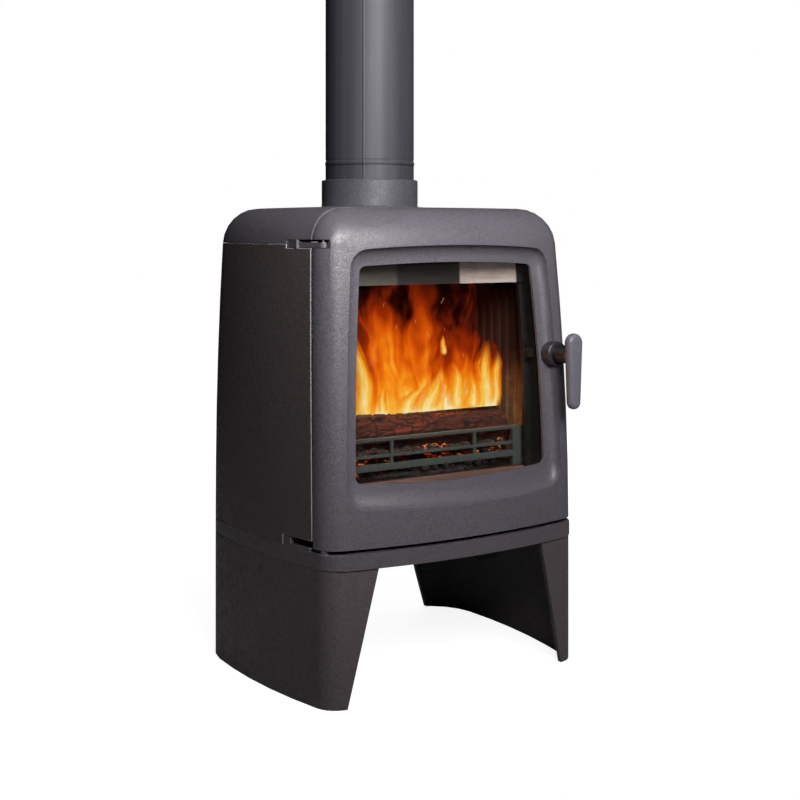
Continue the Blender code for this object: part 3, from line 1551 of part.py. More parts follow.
def air_guide(side):
    """Bracket that carries a slide, with stops at both ends of its travel."""
    top = WEB_UNDER - SEAT
    tray_top = top - AIR_THICK - SEAT
    inner = AIR_X - AIR_PLATE / 2 - FIT
    outer = AIR_X + AIR_PLATE / 2 + AIR_TRAVEL + FIT
    back = AIR_Y + AIR_DEPTH + FIT
    front = AIR_Y + AIR_TAB_THICK + 0.002
    wall = AIR_GUIDE_WALL
    low = tray_top - AIR_THICK
    name = "air_guide_right" if side > 0 else "air_guide_left"
    guide = box_object(
        name, *sorted((side * (inner - wall), side * (outer + wall))), front, back + wall, low, top,
        finish="black_steel",
    )
    room = box_object(
        "slide_room", *sorted((side * inner, side * outer)), front - 0.1, back, tray_top, top + 0.1
    )
    port = box_object(
        "guide_port",
        *sorted((side * (AIR_X - AIR_PORT_WIDTH), side * (AIR_X + AIR_PORT_WIDTH))),
        *middle(AIR_PORT_Y, AIR_PORT_DEPTH + 0.004),
        0.1,
        0.4,
    )
    return shade(cut(guide, room, port))


# Tie rods

def rod_places():
    return [(side * ROD_X, y) for y in ROD_Y for side in (-1, 1)]


def rod_hole(x, y, low, high):
    return cylinder_object("rod_hole", ROD_RADIUS + SEAT, (x, y, low), (x, y, high), steps=10)


def rod_boss(x, y):
    low, high = SPRING + 0.006, SPRING + ROD_BOSS_TOP
    return cylinder_object("rod_boss", ROD_BOSS, (x, y, low), (x, y, high), steps=12)


def tie_rod(number, x, y):
    """Rod from a hexagon head under the plinth to its boss in the top."""
    head_top = WEB_UNDER - SEAT
    rod = cylinder_object(
        f"tie_rod_{number}",
        ROD_RADIUS,
        (x, y, head_top - 0.002),
        (x, y, SPRING + ROD_REACH),
        steps=10,
        finish="black_steel",
    )
    head = cylinder_object("head", ROD_HEAD, (x, y, head_top - 0.005), (x, y, head_top), steps=6)
    return shade(join(rod, head))


# Assembly

def pivot(name, location, pieces):
    """An empty on a joint's axis that carries the pieces which move about it."""
    empty = bpy.data.objects.new(name, None)
    empty.location = location
    empty.empty_display_size = 0.03
    PARTS.objects.link(empty)
    bpy.context.view_layer.update()
    for obj in pieces:
        obj.parent = empty
        obj.matrix_parent_inverse = empty.matrix_world.inverted()
    return empty


def paddle_front():
    return collar_back() - COLLAR_LENGTH - SEAT - STEM_LENGTH - PADDLE_THICK


def centre_on_floor():
    """Moves everything so that the origin is under the middle of the whole stove."""
    shift = -(paddle_front() + BODY_DEPTH) / 2
    for obj in PARTS.objects:
        if obj.parent is None:
            obj.location.y += shift
    return shift


def build_body():
    for side in (-1, 1):
        base_wall(side)
        side_panel(side)
    plinth_plate()
    back_panel()
    top_casting()
    front_frame()
    latch_keeper()
    upper_hinge_strap()
    hinge_pins()
    for number, (x, y) in enumerate(rod_places(), 1):
        tie_rod(number, x, y)


def build_flue():
    flue_collar()
    for number in (1, 2, 3):
        collar_screw(number)
    flue_pipe()


def build_firebox():
    firebox_floor()
    grate()
    ash_pan()
    fire_brick_side(-1)
    fire_brick_side(1)
    fire_brick_rear()
    baffle_plate()
    airwash_plate()
    log_guard()
    ember_bed()
    logs()


def build_door():
    fixed = [door_casting(), *glass_and_gasket(), door_seal(), *glass_clips(), handle_collar()]
    turning = [handle_grip(), *latch()]
    handle = pivot("handle_axis", (HANDLE_X, collar_back(), HANDLE_Z), turning)
    pivot("door_axis", hinge_point(DOOR_BOTTOM), [*fixed, handle])


def build_air():
    for side in (-1, 1):
        air_guide(side)
        name = "air_axis_right" if side > 0 else "air_axis_left"
        pivot(name, (side * AIR_X, AIR_Y, WEB_UNDER), [air_slide(side)])


def main():
    build_body()
    build_flue()
    build_firebox()
    build_door()
    build_air()
    centre_on_floor()


clear_scene()
PARTS = bpy.data.collections.new(NAME)
bpy.context.scene.collection.children.link(PARTS)
MATERIALS = make_materials()
main()
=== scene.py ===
"""Looks of a cast iron wood stove: its finishes, firewood, embers, flames and a plain studio."""

import json
import logging
import math
import random
from dataclasses import dataclass
from enum import Enum
from typing import Any, Iterable, Iterator

import bmesh
import bpy
from mathutils import Matrix, Vector, noise

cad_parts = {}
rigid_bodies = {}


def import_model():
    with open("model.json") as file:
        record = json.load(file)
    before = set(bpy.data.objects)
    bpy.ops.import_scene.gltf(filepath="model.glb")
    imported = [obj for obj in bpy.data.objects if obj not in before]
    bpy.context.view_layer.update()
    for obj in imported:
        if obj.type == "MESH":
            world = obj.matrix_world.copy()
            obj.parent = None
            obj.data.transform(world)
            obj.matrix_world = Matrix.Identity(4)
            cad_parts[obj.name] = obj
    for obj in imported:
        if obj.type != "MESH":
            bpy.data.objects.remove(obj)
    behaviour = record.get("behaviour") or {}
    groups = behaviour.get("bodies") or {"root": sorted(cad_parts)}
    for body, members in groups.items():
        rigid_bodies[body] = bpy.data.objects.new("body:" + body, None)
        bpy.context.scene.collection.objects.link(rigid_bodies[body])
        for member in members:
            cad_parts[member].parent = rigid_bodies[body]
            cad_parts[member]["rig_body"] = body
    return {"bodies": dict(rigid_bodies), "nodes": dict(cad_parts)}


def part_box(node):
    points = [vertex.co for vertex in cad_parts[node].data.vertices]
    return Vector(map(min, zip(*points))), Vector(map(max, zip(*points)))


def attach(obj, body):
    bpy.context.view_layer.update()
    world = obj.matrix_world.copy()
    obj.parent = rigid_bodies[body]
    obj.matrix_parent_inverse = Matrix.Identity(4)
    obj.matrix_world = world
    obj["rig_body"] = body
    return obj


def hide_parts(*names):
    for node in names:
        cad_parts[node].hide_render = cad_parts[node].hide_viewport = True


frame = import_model()
for item in list(bpy.data.objects):
    if item.name not in frame["nodes"] and item not in frame["bodies"].values():
        bpy.data.objects.remove(item)
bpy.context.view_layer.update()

log = logging.getLogger("stove")
Colour = tuple[float, float, float]
Form = bmesh.types.BMesh
# A finish with the starts of the names of the nodes that it goes on
Finished = tuple[Any, tuple[str, ...]]
WHITE: Colour = (1.0, 1.0, 1.0)
# How near two corners of a solid lie, in metres, to be one
WELD = 0.00001


def tint(code: str) -> Colour:
    """Turns a screen colour code into the linear values that shaders use.

    Args:
        code: Six hexadecimal digits.

    Returns:
        Red, green and blue in linear light.
    """
    shares = [int(code[i : i + 2], 16) / 255 for i in (0, 2, 4)]
    red, green, blue = (s / 12.92 if s <= 0.04045 else ((s + 0.055) / 1.055) ** 2.4 for s in shares)
    return red, green, blue


def scaled(colour: Colour, gain: float) -> Colour:
    """Gives a colour brighter or darker by a factor."""
    return colour[0] * gain, colour[1] * gain, colour[2] * gain


class Body(Enum):
    """The bodies that new pieces move with."""

    STOVE = "stove"
    DOOR = "door"
    HANDLE = "handle"


class Shader:
    """One material, or the world, in the making: adds nodes, fills their sockets and links them."""

    def __init__(self, name: str, world: bool = False) -> None:
        """Starts an empty material or world.

        Args:
            name: The finish's name.
            world: True for the world's light in place of a material.
        """
        self.owner = (bpy.data.worlds if world else bpy.data.materials).new(name)
        self.owner.use_nodes = True
        self.tree = self.owner.node_tree
        self.tree.nodes.clear()
        self.output = self.tree.nodes.new("ShaderNodeOutput" + ("World" if world else "Material"))

    def fill(self, socket: Any, value: Any) -> None:
        """Links an output into a socket, or writes a constant on it.

        Args:
            socket: The input socket.
            value: An output socket, a number or a colour.
        """
        if isinstance(value, bpy.types.NodeSocket):
            self.tree.links.new(value, socket)
        elif socket.type == "RGBA" and len(value) == 3:
            socket.default_value = (*value, 1.0)
        else:
            socket.default_value = value

    def node(self, kind: str, settings: dict[str, Any] | None = None, **sockets: Any) -> Any:
        """Adds a shader node.

        Args:
            kind: The node type after ShaderNode.
            settings: Values for the node's own properties.
            sockets: Inputs by name, with underscores for spaces.

        Returns:
            The node.
        """
        made = self.tree.nodes.new("ShaderNode" + kind)
        for key, value in (settings or {}).items():
            setattr(made, key, value)
        for key, value in sockets.items():
            self.fill(made.inputs[key.replace("_", " ")], value)
        return made

    def place(self, scale: Iterable[float] = (1, 1, 1)) -> Any:
        """Gives object coordinates in metres, stretched by a factor on each axis."""
        return self.stretched(self.node("TexCoord").outputs["Object"], scale)

    def stretched(self, at: Any, scale: Iterable[float], move: Iterable[float] = (0, 0, 0)) -> Any:
        """Stretches a vector by a factor on each axis, then moves it."""
        return self.node("Mapping", Vector=at, Location=tuple(move), Scale=tuple(scale)).outputs["Vector"]

    def grain(self, at: Any, scale: float, detail: float, rough: float = 0.5, warp: float = 0.0) -> Any:
        """Gives noise around 0.5: cells to the unit, octaves, weight of the fine ones, distortion."""
        sockets = {"Scale": scale, "Detail": detail, "Roughness": rough, "Distortion": warp}
        return self.node("TexNoise", Vector=at, **sockets).outputs["Fac"]

    def cells(self, at: Any, scale: float, edges: bool = False) -> Any:
        """Gives the distance to the middles of cells, or to the edges between them."""
        feature = "DISTANCE_TO_EDGE" if edges else "F1"
        return self.node("TexVoronoi", {"feature": feature}, Vector=at, Scale=scale).outputs["Distance"]

    def numbered(self, kind: str, settings: dict[str, Any], sockets: dict[int, Any]) -> Any:
        """Adds a node whose inputs are known by number.

        Args:
            kind: The node type after ShaderNode.
            settings: Values for the node's own properties.
            sockets: Inputs by number.

        Returns:
            The node.
        """
        made = self.node(kind, settings)
        for number, value in sockets.items():
            self.fill(made.inputs[number], value)
        return made

    def calc(self, how: str, a: Any, b: Any = 0.0, clamp: bool = False) -> Any:
        """Does arithmetic on two values, and holds the result between 0 and 1 if asked."""
        return self.numbered("Math", {"operation": how, "use_clamp": clamp}, {0: a, 1: b}).outputs[0]

    def plus(self, a: Any, b: Any) -> Any:
        """Adds two values."""
        return self.calc("ADD", a, b)

    def less(self, a: Any, b: Any) -> Any:
        """Takes the second value from the first."""
        return self.calc("SUBTRACT", a, b)

    def times(self, a: Any, b: Any) -> Any:
        """Multiplies two values."""
        return self.calc("MULTIPLY", a, b)

    def swing(self, pattern: Any, weight: Any) -> Any:
        """Gives a pattern's distance from its middle value, times a weight."""
        return self.times(self.less(pattern, 0.5), weight)

    def span(self, value: Any, low: float, high: float, to_low: Any = 0.0, to_high: Any = 1.0) -> Any:
        """Carries a value smoothly from one range to another and holds it there."""
        sockets = dict(enumerate((value, low, high, to_low, to_high)))
        return self.numbered("MapRange", {"interpolation_type": "SMOOTHSTEP"}, sockets).outputs[0]

    def blend(self, share: Any, a: Any, b: Any) -> Any:
        """Mixes two colours, by the share of the second."""
        return self.numbered("Mix", {"data_type": "RGBA"}, {0: share, 6: a, 7: b}).outputs[2]

    def ramp(self, value: Any, stops: Iterable[tuple[float, Colour]]) -> Any:
        """Turns a value into a colour.

        Args:
            value: The value.
            stops: Places from 0 to 1 with their colours.

        Returns:
            A colour output.
        """
        made = self.node("ValToRGB", Fac=value)
        stops = list(stops)
        points = made.color_ramp.elements
        while len(points) < len(stops):
            points.new(0.5)
        for point, (place, colour) in zip(points, stops):
            point.position = place
            point.color = (*colour, 1.0)
        return made.outputs["Color"]

    def relief(self, height: Any, depth: float, strength: float = 1.0) -> Any:
        """Gives a normal for heights from 0 to 1, their depth in metres and the share that shows."""
        return self.node("Bump", Height=height, Distance=depth, Strength=strength).outputs["Normal"]

    def axis(self, at: Any, name: str) -> Any:
        """Gives the X, Y or Z of a vector."""
        return self.node("SeparateXYZ", Vector=at).outputs[name]

    def seen(self) -> Any:
        """Gives 1 on rays from the camera, also through glass, and 0 on those that light the scene."""
        path = self.node("LightPath").outputs
        return self.calc("MAXIMUM", path["Is Camera Ray"], path["Is Transmission Ray"])

    def shader(self, kind: str, **sockets: Any) -> Any:
        """Gives the output of a shader node, its inputs named with underscores for spaces."""
        return self.node(kind, **sockets).outputs[0]

    def fade(self, share: Any, a: Any, b: Any) -> Any:
        """Mixes two shaders, by the share of the second."""
        return self.numbered("MixShader", {}, {0: share, 1: a, 2: b}).outputs[0]

    def surface(self, colour: Any, rough: Any, normal: Any, **more: Any) -> Any:
        """Closes the material with a principled surface."""
        sockets = {"Base_Color": colour, "Roughness": rough, "Normal": normal, **more}
        return self.close(self.shader("BsdfPrincipled", **sockets))

    def close(self, shader: Any) -> Any:
        """Links a shader to the output and returns the material or world."""
        self.tree.links.new(shader, self.output.inputs["Surface"])
        return self.owner


@dataclass(frozen=True)
class CastIron:
    """Matt stove paint over sand-cast iron."""

    name: str
    colour: Colour
    roughness: float
    depth: float
    grain_scale: float = 330.0
    contrast: float = 0.2
    painted_shade_y: float | None = None
    worn: float = 1.12

    def make(self) -> Any:
        """Builds the material: sand grain, faint pits, patches of wear, and painted shade beyond the given
        y, where the handle's stem is.

        Returns:
            The material.
        """
        s = Shader(self.name)
        at = s.place()
        sand = s.grain(at, self.grain_scale, 3.0, 0.6)
        pits = s.grain(at, self.grain_scale / 2.6, 2.0)
        cloud = s.grain(at, 8.0, 3.0, 0.55)
        low, high = scaled(self.colour, 1 - self.contrast), scaled(self.colour, 1 + self.contrast)
        speckle = s.blend(s.span(sand, 0.32, 0.68), low, high)
        colour = s.blend(s.span(cloud, 0.4, 0.75, 0.0, 0.5), speckle, scaled(self.colour, self.worn))
        if self.painted_shade_y is not None:
            # Beyond this y the handle's stem is painted darker: painted shade.
            behind = s.span(s.axis(at, "Y"), self.painted_shade_y - 0.001, self.painted_shade_y + 0.001)
            colour = s.blend(behind, colour, tint("1c1a1c"))
        rough = s.span(pits, 0.3, 0.7, self.roughness - 0.07, self.roughness + 0.09)
        height = s.plus(s.times(sand, 0.65), s.times(pits, 0.35))
        normal = s.relief(height, self.depth, 0.85)
        return s.surface(colour, rough, normal)


@dataclass(frozen=True)
class RolledSteel:
    """Painted or bright steel sheet and bar with a fine brushed grain."""

    name: str
    colour: Colour
    brush: float
    metallic: float = 0.6
    roughness: float = 0.38
    contrast: float = 0.15

    def make(self) -> Any:
        """Builds the material: brushed grain, handling marks and smooth patches.

        Returns:
            The material.
        """
        s = Shader(self.name)
        brushed = s.grain(s.place([self.brush] * 3), 1.0, 3.0, 0.6)
        cloud = s.grain(s.place(), 14.0, 3.0)
        low, high = scaled(self.colour, 1 - self.contrast), scaled(self.colour, 1 + self.contrast)
        colour = s.blend(s.span(brushed, 0.3, 0.7), low, high)
        colour = s.blend(s.span(cloud, 0.45, 0.8, 0.0, 0.35), colour, low)
        rough = s.span(cloud, 0.25, 0.75, self.roughness - 0.06, self.roughness + 0.08)
        normal = s.relief(brushed, 0.00012, 0.5)
        return s.surface(colour, rough, normal, Metallic=self.metallic)


@dataclass(frozen=True)
class HearthPlate:
    """The firebox floor: sooty under the fire, its lip in front of the rail brown with wear and a painted
    warm reflection.
    """

    name: str
    sooty: Colour
    worn: Colour
    level: float
    rail: float = -0.1165

    def make(self) -> Any:
        """Builds the material: long streaks of wear and painted reflection on the lip, soot and ash behind
        it.

        Returns:
            The material.
        """
        s = Shader(self.name)
        wiped = s.grain(s.place((14.0, 260.0, 60.0)), 1.0, 4.0, 0.6)
        ash = s.grain(s.place(), 180.0, 3.0)
        lip = s.span(s.axis(s.place(), "Y"), self.rail - 0.002, self.rail + 0.004, 1.0, 0.0)
        top = s.span(s.axis(s.place(), "Z"), self.level - 0.008, self.level - 0.006)
        lip = s.times(lip, top)
        # The lip's brown is partly wear and partly a painted warm reflection.
        brown = s.blend(s.span(wiped, 0.35, 0.65), scaled(self.worn, 0.7), self.worn)
        soot = s.blend(s.span(ash, 0.45, 0.7), self.sooty, scaled(self.sooty, 2.0))
        rough = s.span(wiped, 0.3, 0.7, 0.3, 0.45)
        normal = s.relief(wiped, 0.0003)
        return s.surface(s.blend(lip, soot, brown), rough, normal)


@dataclass(frozen=True)
class PipeSteel:
    """Satin painted flue pipe, with its upright weld and the joint under its bead."""

    name: str
    colour: Colour
    axis: tuple[float, float]
    joint: float
    seam: float = math.radians(219.4)
    metallic: float = 0.2
    roughness: float = 0.58

    def make(self) -> Any:
        """Builds the material: fine peel, faint upright streaks and the weld.

        Returns:
            The material.
        """
        s = Shader(self.name)
        peel = s.grain(s.place(), 420.0, 3.0, 0.6)
        streak = s.grain(s.place((70.0, 70.0, 1.2)), 1.0, 3.0)
        x, y = (s.less(s.axis(s.place(), name), mid) for name, mid in zip("XY", self.axis))
        sine, cosine = math.sin(self.seam), math.cos(self.seam)
        aside = s.less(s.times(x, cosine), s.times(y, sine))
        ahead = s.plus(s.times(x, sine), s.times(y, cosine))
        weld = s.span(s.calc("ABSOLUTE", aside), 0.0007, 0.0024, 1.0, 0.0)
        weld = s.times(weld, s.calc("GREATER_THAN", ahead, 0.0))
        shades = scaled(self.colour, 0.86), scaled(self.colour, 1.1)
        colour = s.blend(s.span(streak, 0.35, 0.65), *shades)
        level = s.calc("ABSOLUTE", s.less(s.axis(s.place(), "Z"), self.joint))
        colour = s.blend(s.span(level, 0.0006, 0.0016, 0.92, 0.0), colour, tint("0c0b0d"))
        rough = s.span(peel, 0.3, 0.7, self.roughness - 0.05, self.roughness + 0.07)
        height = s.plus(s.times(peel, 0.5), s.times(weld, 2.5))
        return s.surface(colour, rough, s.relief(height, 0.0003), Metallic=self.metallic)


@dataclass(frozen=True)
class AirwashSteel:
    """The strip behind the top of the glass: smoked on the left, with a painted reflection and painted
    shade on the right, and a painted glow.
    """

    name: str
    smoked: Colour
    sooty: Colour
    painted_reflection: Colour
    edges: tuple[float, float, float] = (-0.076, 0.043, 0.155)
    wander: float = 0.006
    shine: float = 0.17

    def make(self) -> Any:
        """Builds the material with its bands along the strip.

        Returns:
            The material.
        """
        s = Shader(self.name)
        wave = s.swing(s.grain(s.place(), 16.0, 3.0), self.wander)
        across = s.plus(s.axis(s.place(), "X"), wave)
        colour = self.smoked
        # The bright band is a painted reflection; the black band at the right end is painted shade.
        bands = (self.sooty, self.painted_reflection, tint("0d0b0a"))
        for edge, soft, band in zip(self.edges, (0.003, 0.002, 0.002), bands):
            colour = s.blend(s.span(across, edge - soft, edge + soft), colour, band)
        film = s.grain(s.place((24.0, 24.0, 160.0)), 1.0, 4.0, 0.6)
        colour = s.blend(s.span(film, 0.35, 0.75, 0.0, 0.3), colour, tint("2a2622"))
        rough = s.span(film, 0.3, 0.7, 0.42, 0.6)
        # The emission is a painted glow over the whole strip.
        light = {"Emission_Color": colour, "Emission_Strength": self.shine}
        return s.surface(colour, rough, s.relief(film, 0.0002, 0.4), **light)


@dataclass(frozen=True)
class FireBrick:
    """Pressed lining board, clean at its low level and black with smoke at its high one."""

    name: str
    clean: Colour
    sooty: Colour
    low: float
    high: float
    drift: float = 0.22

    def make(self) -> Any:
        """Builds the material: flaky grains, and soot that thickens with height.

        Returns:
            The material.
        """
        s = Shader(self.name)
        at = s.place()
        flakes = s.cells(at, 260.0)
        fine = s.grain(at, 420.0, 3.0, 0.6)
        drift = s.times(s.grain(at, 11.0, 4.0, 0.6), self.drift)
        level = s.plus(s.axis(at, "Z"), drift)
        soot = s.span(level, self.low, self.high)
        board = s.blend(s.span(flakes, 0.2, 0.7, 0.0, 0.5), self.clean, tint("5d4a38"))
        colour = s.blend(soot, board, self.sooty)
        height = s.plus(s.times(flakes, 0.6), s.times(fine, 0.4))
        return s.surface(colour, 0.93, s.relief(height, 0.0009, 0.8))


@dataclass(frozen=True)
class CeramicGlass:
    """Clear stove glass with a trace of smoke at its rim."""

    name: str
    half_width: float
    bottom: float
    top: float
    rim: tuple[float, float] = (0.016, 0.045)
    index: float = 1.22

    def make(self) -> Any:
        """Builds the material: see-through in the middle, hazed along the rim.

        Returns:
            The material.
        """
        s = Shader(self.name)
        at = s.place()
        aside = s.calc("ABSOLUTE", s.axis(at, "X"))
        gap = s.less(self.half_width, aside)
        under = s.less(s.axis(at, "Z"), self.bottom)
        over = s.less(self.top, s.axis(at, "Z"))
        near = s.calc("MINIMUM", gap, s.calc("MINIMUM", under, over))
        wobble = s.times(s.grain(at, 40.0, 3.0), 0.02)
        haze = s.span(s.plus(near, wobble), *self.rim, 0.2, 0.0)
        clear = s.shader("BsdfTransparent", Color=(0.93, 0.93, 0.92))
        pane = s.fade(haze, clear, s.shader("BsdfDiffuse", Color=tint("2b2521")))
        front = s.less(1.0, s.node("NewGeometry").outputs["Backfacing"])
        edge = s.times(s.node("Fresnel", IOR=self.index).outputs[0], front)
        return s.close(s.fade(edge, pane, s.shader("BsdfGlossy", Color=WHITE, Roughness=0.04)))


@dataclass(frozen=True)
class RopeSeal:
    """Braided glass-fibre rope, darkened by heat."""

    name: str
    colour: Colour
    strands: float = 1900.0

    def make(self) -> Any:
        """Builds the material: two crossed sets of strands.

        Returns:
            The material.
        """
        s = Shader(self.name)
        at = s.place()
        heights = []
        for lean in (1.0, -1.0):
            mixed = s.plus(s.axis(at, "X"), s.times(s.axis(at, "Z"), lean))
            heights.append(s.calc("SINE", s.times(mixed, self.strands)))
        braid = s.calc("MAXIMUM", *heights)
        fuzz = s.grain(at, 900.0, 3.0, 0.7)
        # The grooves between the strands are painted darker: painted shade.
        colour = s.blend(s.span(braid, 0.1, 1.0), scaled(self.colour, 0.45), self.colour)
        return s.surface(colour, 0.95, s.relief(s.plus(braid, fuzz), 0.0006))


@dataclass(frozen=True)
class BurningWood:
    """Charred bark with glowing cracks, and browner cut ends."""

    name: str
    bark: Colour
    char: Colour
    glow: Colour
    heat: float

    def make(self) -> Any:
        """Builds the material from the log's own crack and cut attributes, with painted light on the faces
        that look up.

        Returns:
            The material.
        """
        s = Shader(self.name)
        at = s.place((26.0, 210.0, 210.0))
        fibre = s.grain(at, 1.0, 5.0, 0.65, 0.4)
        patch = s.grain(s.place((9.0, 24.0, 24.0)), 1.0, 3.0)
        layers = ({"attribute_name": name} for name in ("crack", "cut"))
        crack, cut = (s.node("Attribute", layer).outputs["Fac"] for layer in layers)
        colour = s.blend(s.span(fibre, 0.35, 0.65), self.char, self.bark)
        colour = s.blend(s.span(patch, 0.42, 0.62, 0.0, 0.75), colour, self.char)
        # Faces that look up are painted lighter: painted light from above.
        ridges_and_lit_tops = s.span(s.axis(s.node("NewGeometry").outputs["Normal"], "Z"), -0.2, 0.9, 0.0, 0.35)
        colour = s.blend(ridges_and_lit_tops, colour, scaled(self.bark, 1.5))
        colour = s.blend(s.span(crack, 0.38, 0.8), colour, tint("060202"))
        sawn = s.blend(s.span(fibre, 0.4, 0.6), tint("3a2012"), tint("6b4526"))
        colour = s.blend(cut, colour, sawn)
        ember = s.times(s.span(crack, 0.72, 1.0), s.span(patch, 0.5, 0.68))
        ember = s.times(ember, self.heat)
        light = {"Emission_Color": self.glow, "Emission_Strength": ember}
        return s.surface(colour, 0.9, s.relief(fibre, 0.0012, 0.7), **light)


@dataclass(frozen=True)
class GlowingCoal:
    """Charcoal and ash with a red glow in its hollows."""

    name: str
    heat: float
    cool_y: tuple[float, float] = (-0.104, -0.097)

    def make(self) -> Any:
        """Builds the material: ash on dark coal, heat in patches and gaps, and a cool front row.

        Returns:
            The material.
        """
        s = Shader(self.name)
        at = s.place()
        patch = s.grain(at, 38.0, 3.0, 0.6)
        vein = s.cells(at, 150.0, True)
        ash = s.grain(at, 260.0, 4.0, 0.65)
        hot = s.times(s.span(patch, 0.5, 0.66), s.span(vein, 0.26, 0.0))
        hot = s.times(hot, s.span(s.axis(at, "Y"), *self.cool_y))
        colour = s.blend(s.span(ash, 0.45, 0.7), tint("15100e"), tint("4a4340"))
        glow = s.ramp(hot, [(0.0, tint("3a0500")), (0.5, tint("c2330a")), (1.0, tint("ff9a3a"))])
        light = {"Emission_Color": glow, "Emission_Strength": s.times(hot, self.heat)}
        return s.surface(colour, 0.95, s.relief(ash, 0.0016), **light)


FIRE_STOPS = (
    (0.0, tint("1e0603")),
    (0.18, tint("4a1206")),
    (0.38, tint("9a2c05")),
    (0.56, tint("e25c08")),
    (0.72, tint("fd8f17")),
    (0.86, tint("ffc94a")),
    (1.0, tint("fff3b8")),
)


def burning(s: Shader, level: Any, cover: Any, strength: float) -> Any:
    """Closes a material with flame where it is covered and clear air elsewhere.

    Args:
        s: The material in the making.
        level: How hot the flame is, from 0 to 1.
        cover: How solid it looks, from 0 to 1.
        strength: Factor on its light.

    Returns:
        The material.
    """
    glow = s.shader("Emission", Color=s.ramp(level, FIRE_STOPS), Strength=strength)
    return s.close(s.fade(cover, s.shader("BsdfTransparent", Color=WHITE), glow))


@dataclass(frozen=True)
class Fire:
    """A sheet of flame: pale at its foot, orange above it, dark red and torn at its top."""

    name: str
    licks: float
    seed: float
    tall: float
    short: float
    plateau: float
    glow: float
    ragged: float = 1.0
    strength: float = 1.0

    def make(self) -> Any:
        """Builds the material from the sheet's own UV map.

        Returns:
            The material.
        """
        s = Shader(self.name)
        uv = s.node("UVMap").outputs["UV"]
        along, up = s.axis(uv, "X"), s.axis(uv, "Y")
        sway = s.grain(s.stretched(uv, (self.licks * 0.5, 1.5, 1.0), (self.seed, 0, 0)), 1.0, 2.0)
        shift = s.swing(sway, 0.5)
        across = s.plus(along, s.times(shift, s.plus(up, 0.15)))
        bent = s.node("CombineXYZ", X=across, Y=up).outputs[0]
        wide = s.stretched(bent, (self.licks * 0.8, 2.2, 1.0), (self.seed, 2, 0))
        broad = s.grain(wide, 1.0, 2.0, 0.45, 1.1)
        narrow = s.stretched(bent, (self.licks * 1.9, 1.9, 1.0), (0, self.seed, 4))
        streak = s.grain(narrow, 1.0, 4.0, 0.5, 1.3)
        crest = s.span(along, 0.5, 0.88, self.tall, self.short)
        over = s.less(up, crest)
        level = s.span(over, -0.25, 0.36, self.plateau, 0.13)
        level = s.plus(level, s.span(up, 0.0, 0.27, self.glow, 0.0))
        level = s.plus(level, s.swing(broad, self.ragged))
        calm = s.span(up, 0.15, 0.75, self.ragged, self.ragged * 0.6)
        level = s.plus(level, s.swing(streak, calm))
        side = s.calc("ABSOLUTE", s.less(along, 0.5))
        level = s.calc("MULTIPLY", level, s.span(side, 0.46, 0.5, 1.0, 0.0), True)
        tip = s.span(up, 0.9, 1.0, 1.0, 0.0)
        cover = s.times(s.span(level, 0.05, 0.36), tip)
        return burning(s, level, s.times(cover, 0.95), self.strength)


@dataclass(frozen=True)
class Tongue:
    """Licks of flame: pale at their hearts, orange at their edges and clear round them."""

    name: str = "tongue_fire"
    strength: float = 1.05

    def make(self) -> Any:
        """Builds the material from each lick's own part of the UV map.

        Returns:
            The material.
        """
        s = Shader(self.name)
        uv = s.node("UVMap").outputs["UV"]
        number = s.calc("FLOOR", s.axis(uv, "X"))
        along = s.less(s.axis(uv, "X"), number)
        up = s.axis(uv, "Y")
        flow = s.grain(s.stretched(uv, (2.6, 1.5, 1.0)), 2.0, 4.0, 0.6, 0.9)
        push = s.swing(flow, s.span(up, 0.0, 1.0, 0.15, 0.9))
        off = s.less(along, 0.5)
        side = s.calc("ABSOLUTE", s.plus(off, s.times(push, 0.5)))
        heart = s.less(1.0, s.times(side, 2.2))
        fine = s.grain(s.stretched(uv, (7.0, 2.2, 1.0)), 2.0, 3.0, 0.6, 0.5)
        heart = s.plus(heart, s.swing(fine, 0.7))
        rim = s.span(s.calc("ABSOLUTE", off), 0.4, 0.5, 1.0, 0.0)
        cover = s.times(s.span(heart, 0.0, 0.6), rim)
        cover = s.times(cover, s.span(up, 0.62, 1.0, 1.0, 0.0))
        cover = s.times(cover, s.span(up, 0.0, 0.2, 0.0, 1.0))
        level = s.plus(s.times(heart, 0.4), 0.62)
        level = s.calc("SUBTRACT", level, s.times(up, 0.22), True)
        return burning(s, level, s.times(cover, 0.94), self.strength)


@dataclass(frozen=True)
class StudioFloor:
    """Plain grey floor that reads as white to the camera and keeps the shadow."""

    name: str = "studio_floor"
    shadow: tuple[float, float] = (0.45, 1.6)

    def make(self) -> Any:
        """Builds the material with a faint mottling.

        Returns:
            The material.
        """
        s = Shader(self.name)
        faint = s.grain(s.place(), 3.0, 2.0)
        colour = s.blend(faint, scaled(WHITE, 0.3), scaled(WHITE, 0.34))
        away = s.numbered("VectorMath", {"operation": "LENGTH"}, {0: s.place()})
        share = s.span(away.outputs["Value"], *self.shadow, 0.9, 1.0)
        lift = s.shader("Emission", Color=WHITE, Strength=s.times(s.seen(), share))
        both = s.numbered("AddShader", {}, {0: s.shader("BsdfDiffuse", Color=colour), 1: lift})
        return s.close(both.outputs[0])


def mesh_of(name: str, bm: Form) -> Any:
    """Turns a bmesh into a mesh and frees it.

    Args:
        name: The mesh's name.
        bm: The bmesh.

    Returns:
        The mesh.
    """
    mesh = bpy.data.meshes.new(name)
    bm.to_mesh(mesh)
    bm.free()
    return mesh


def placed(name: str, data: Any) -> Any:
    """Makes an object and links it to the scene.

    Args:
        name: The object's name.
        data: Its mesh, lamp or camera.

    Returns:
        The object.
    """
    made = bpy.data.objects.new(name, data)
    bpy.context.scene.collection.objects.link(made)
    return made


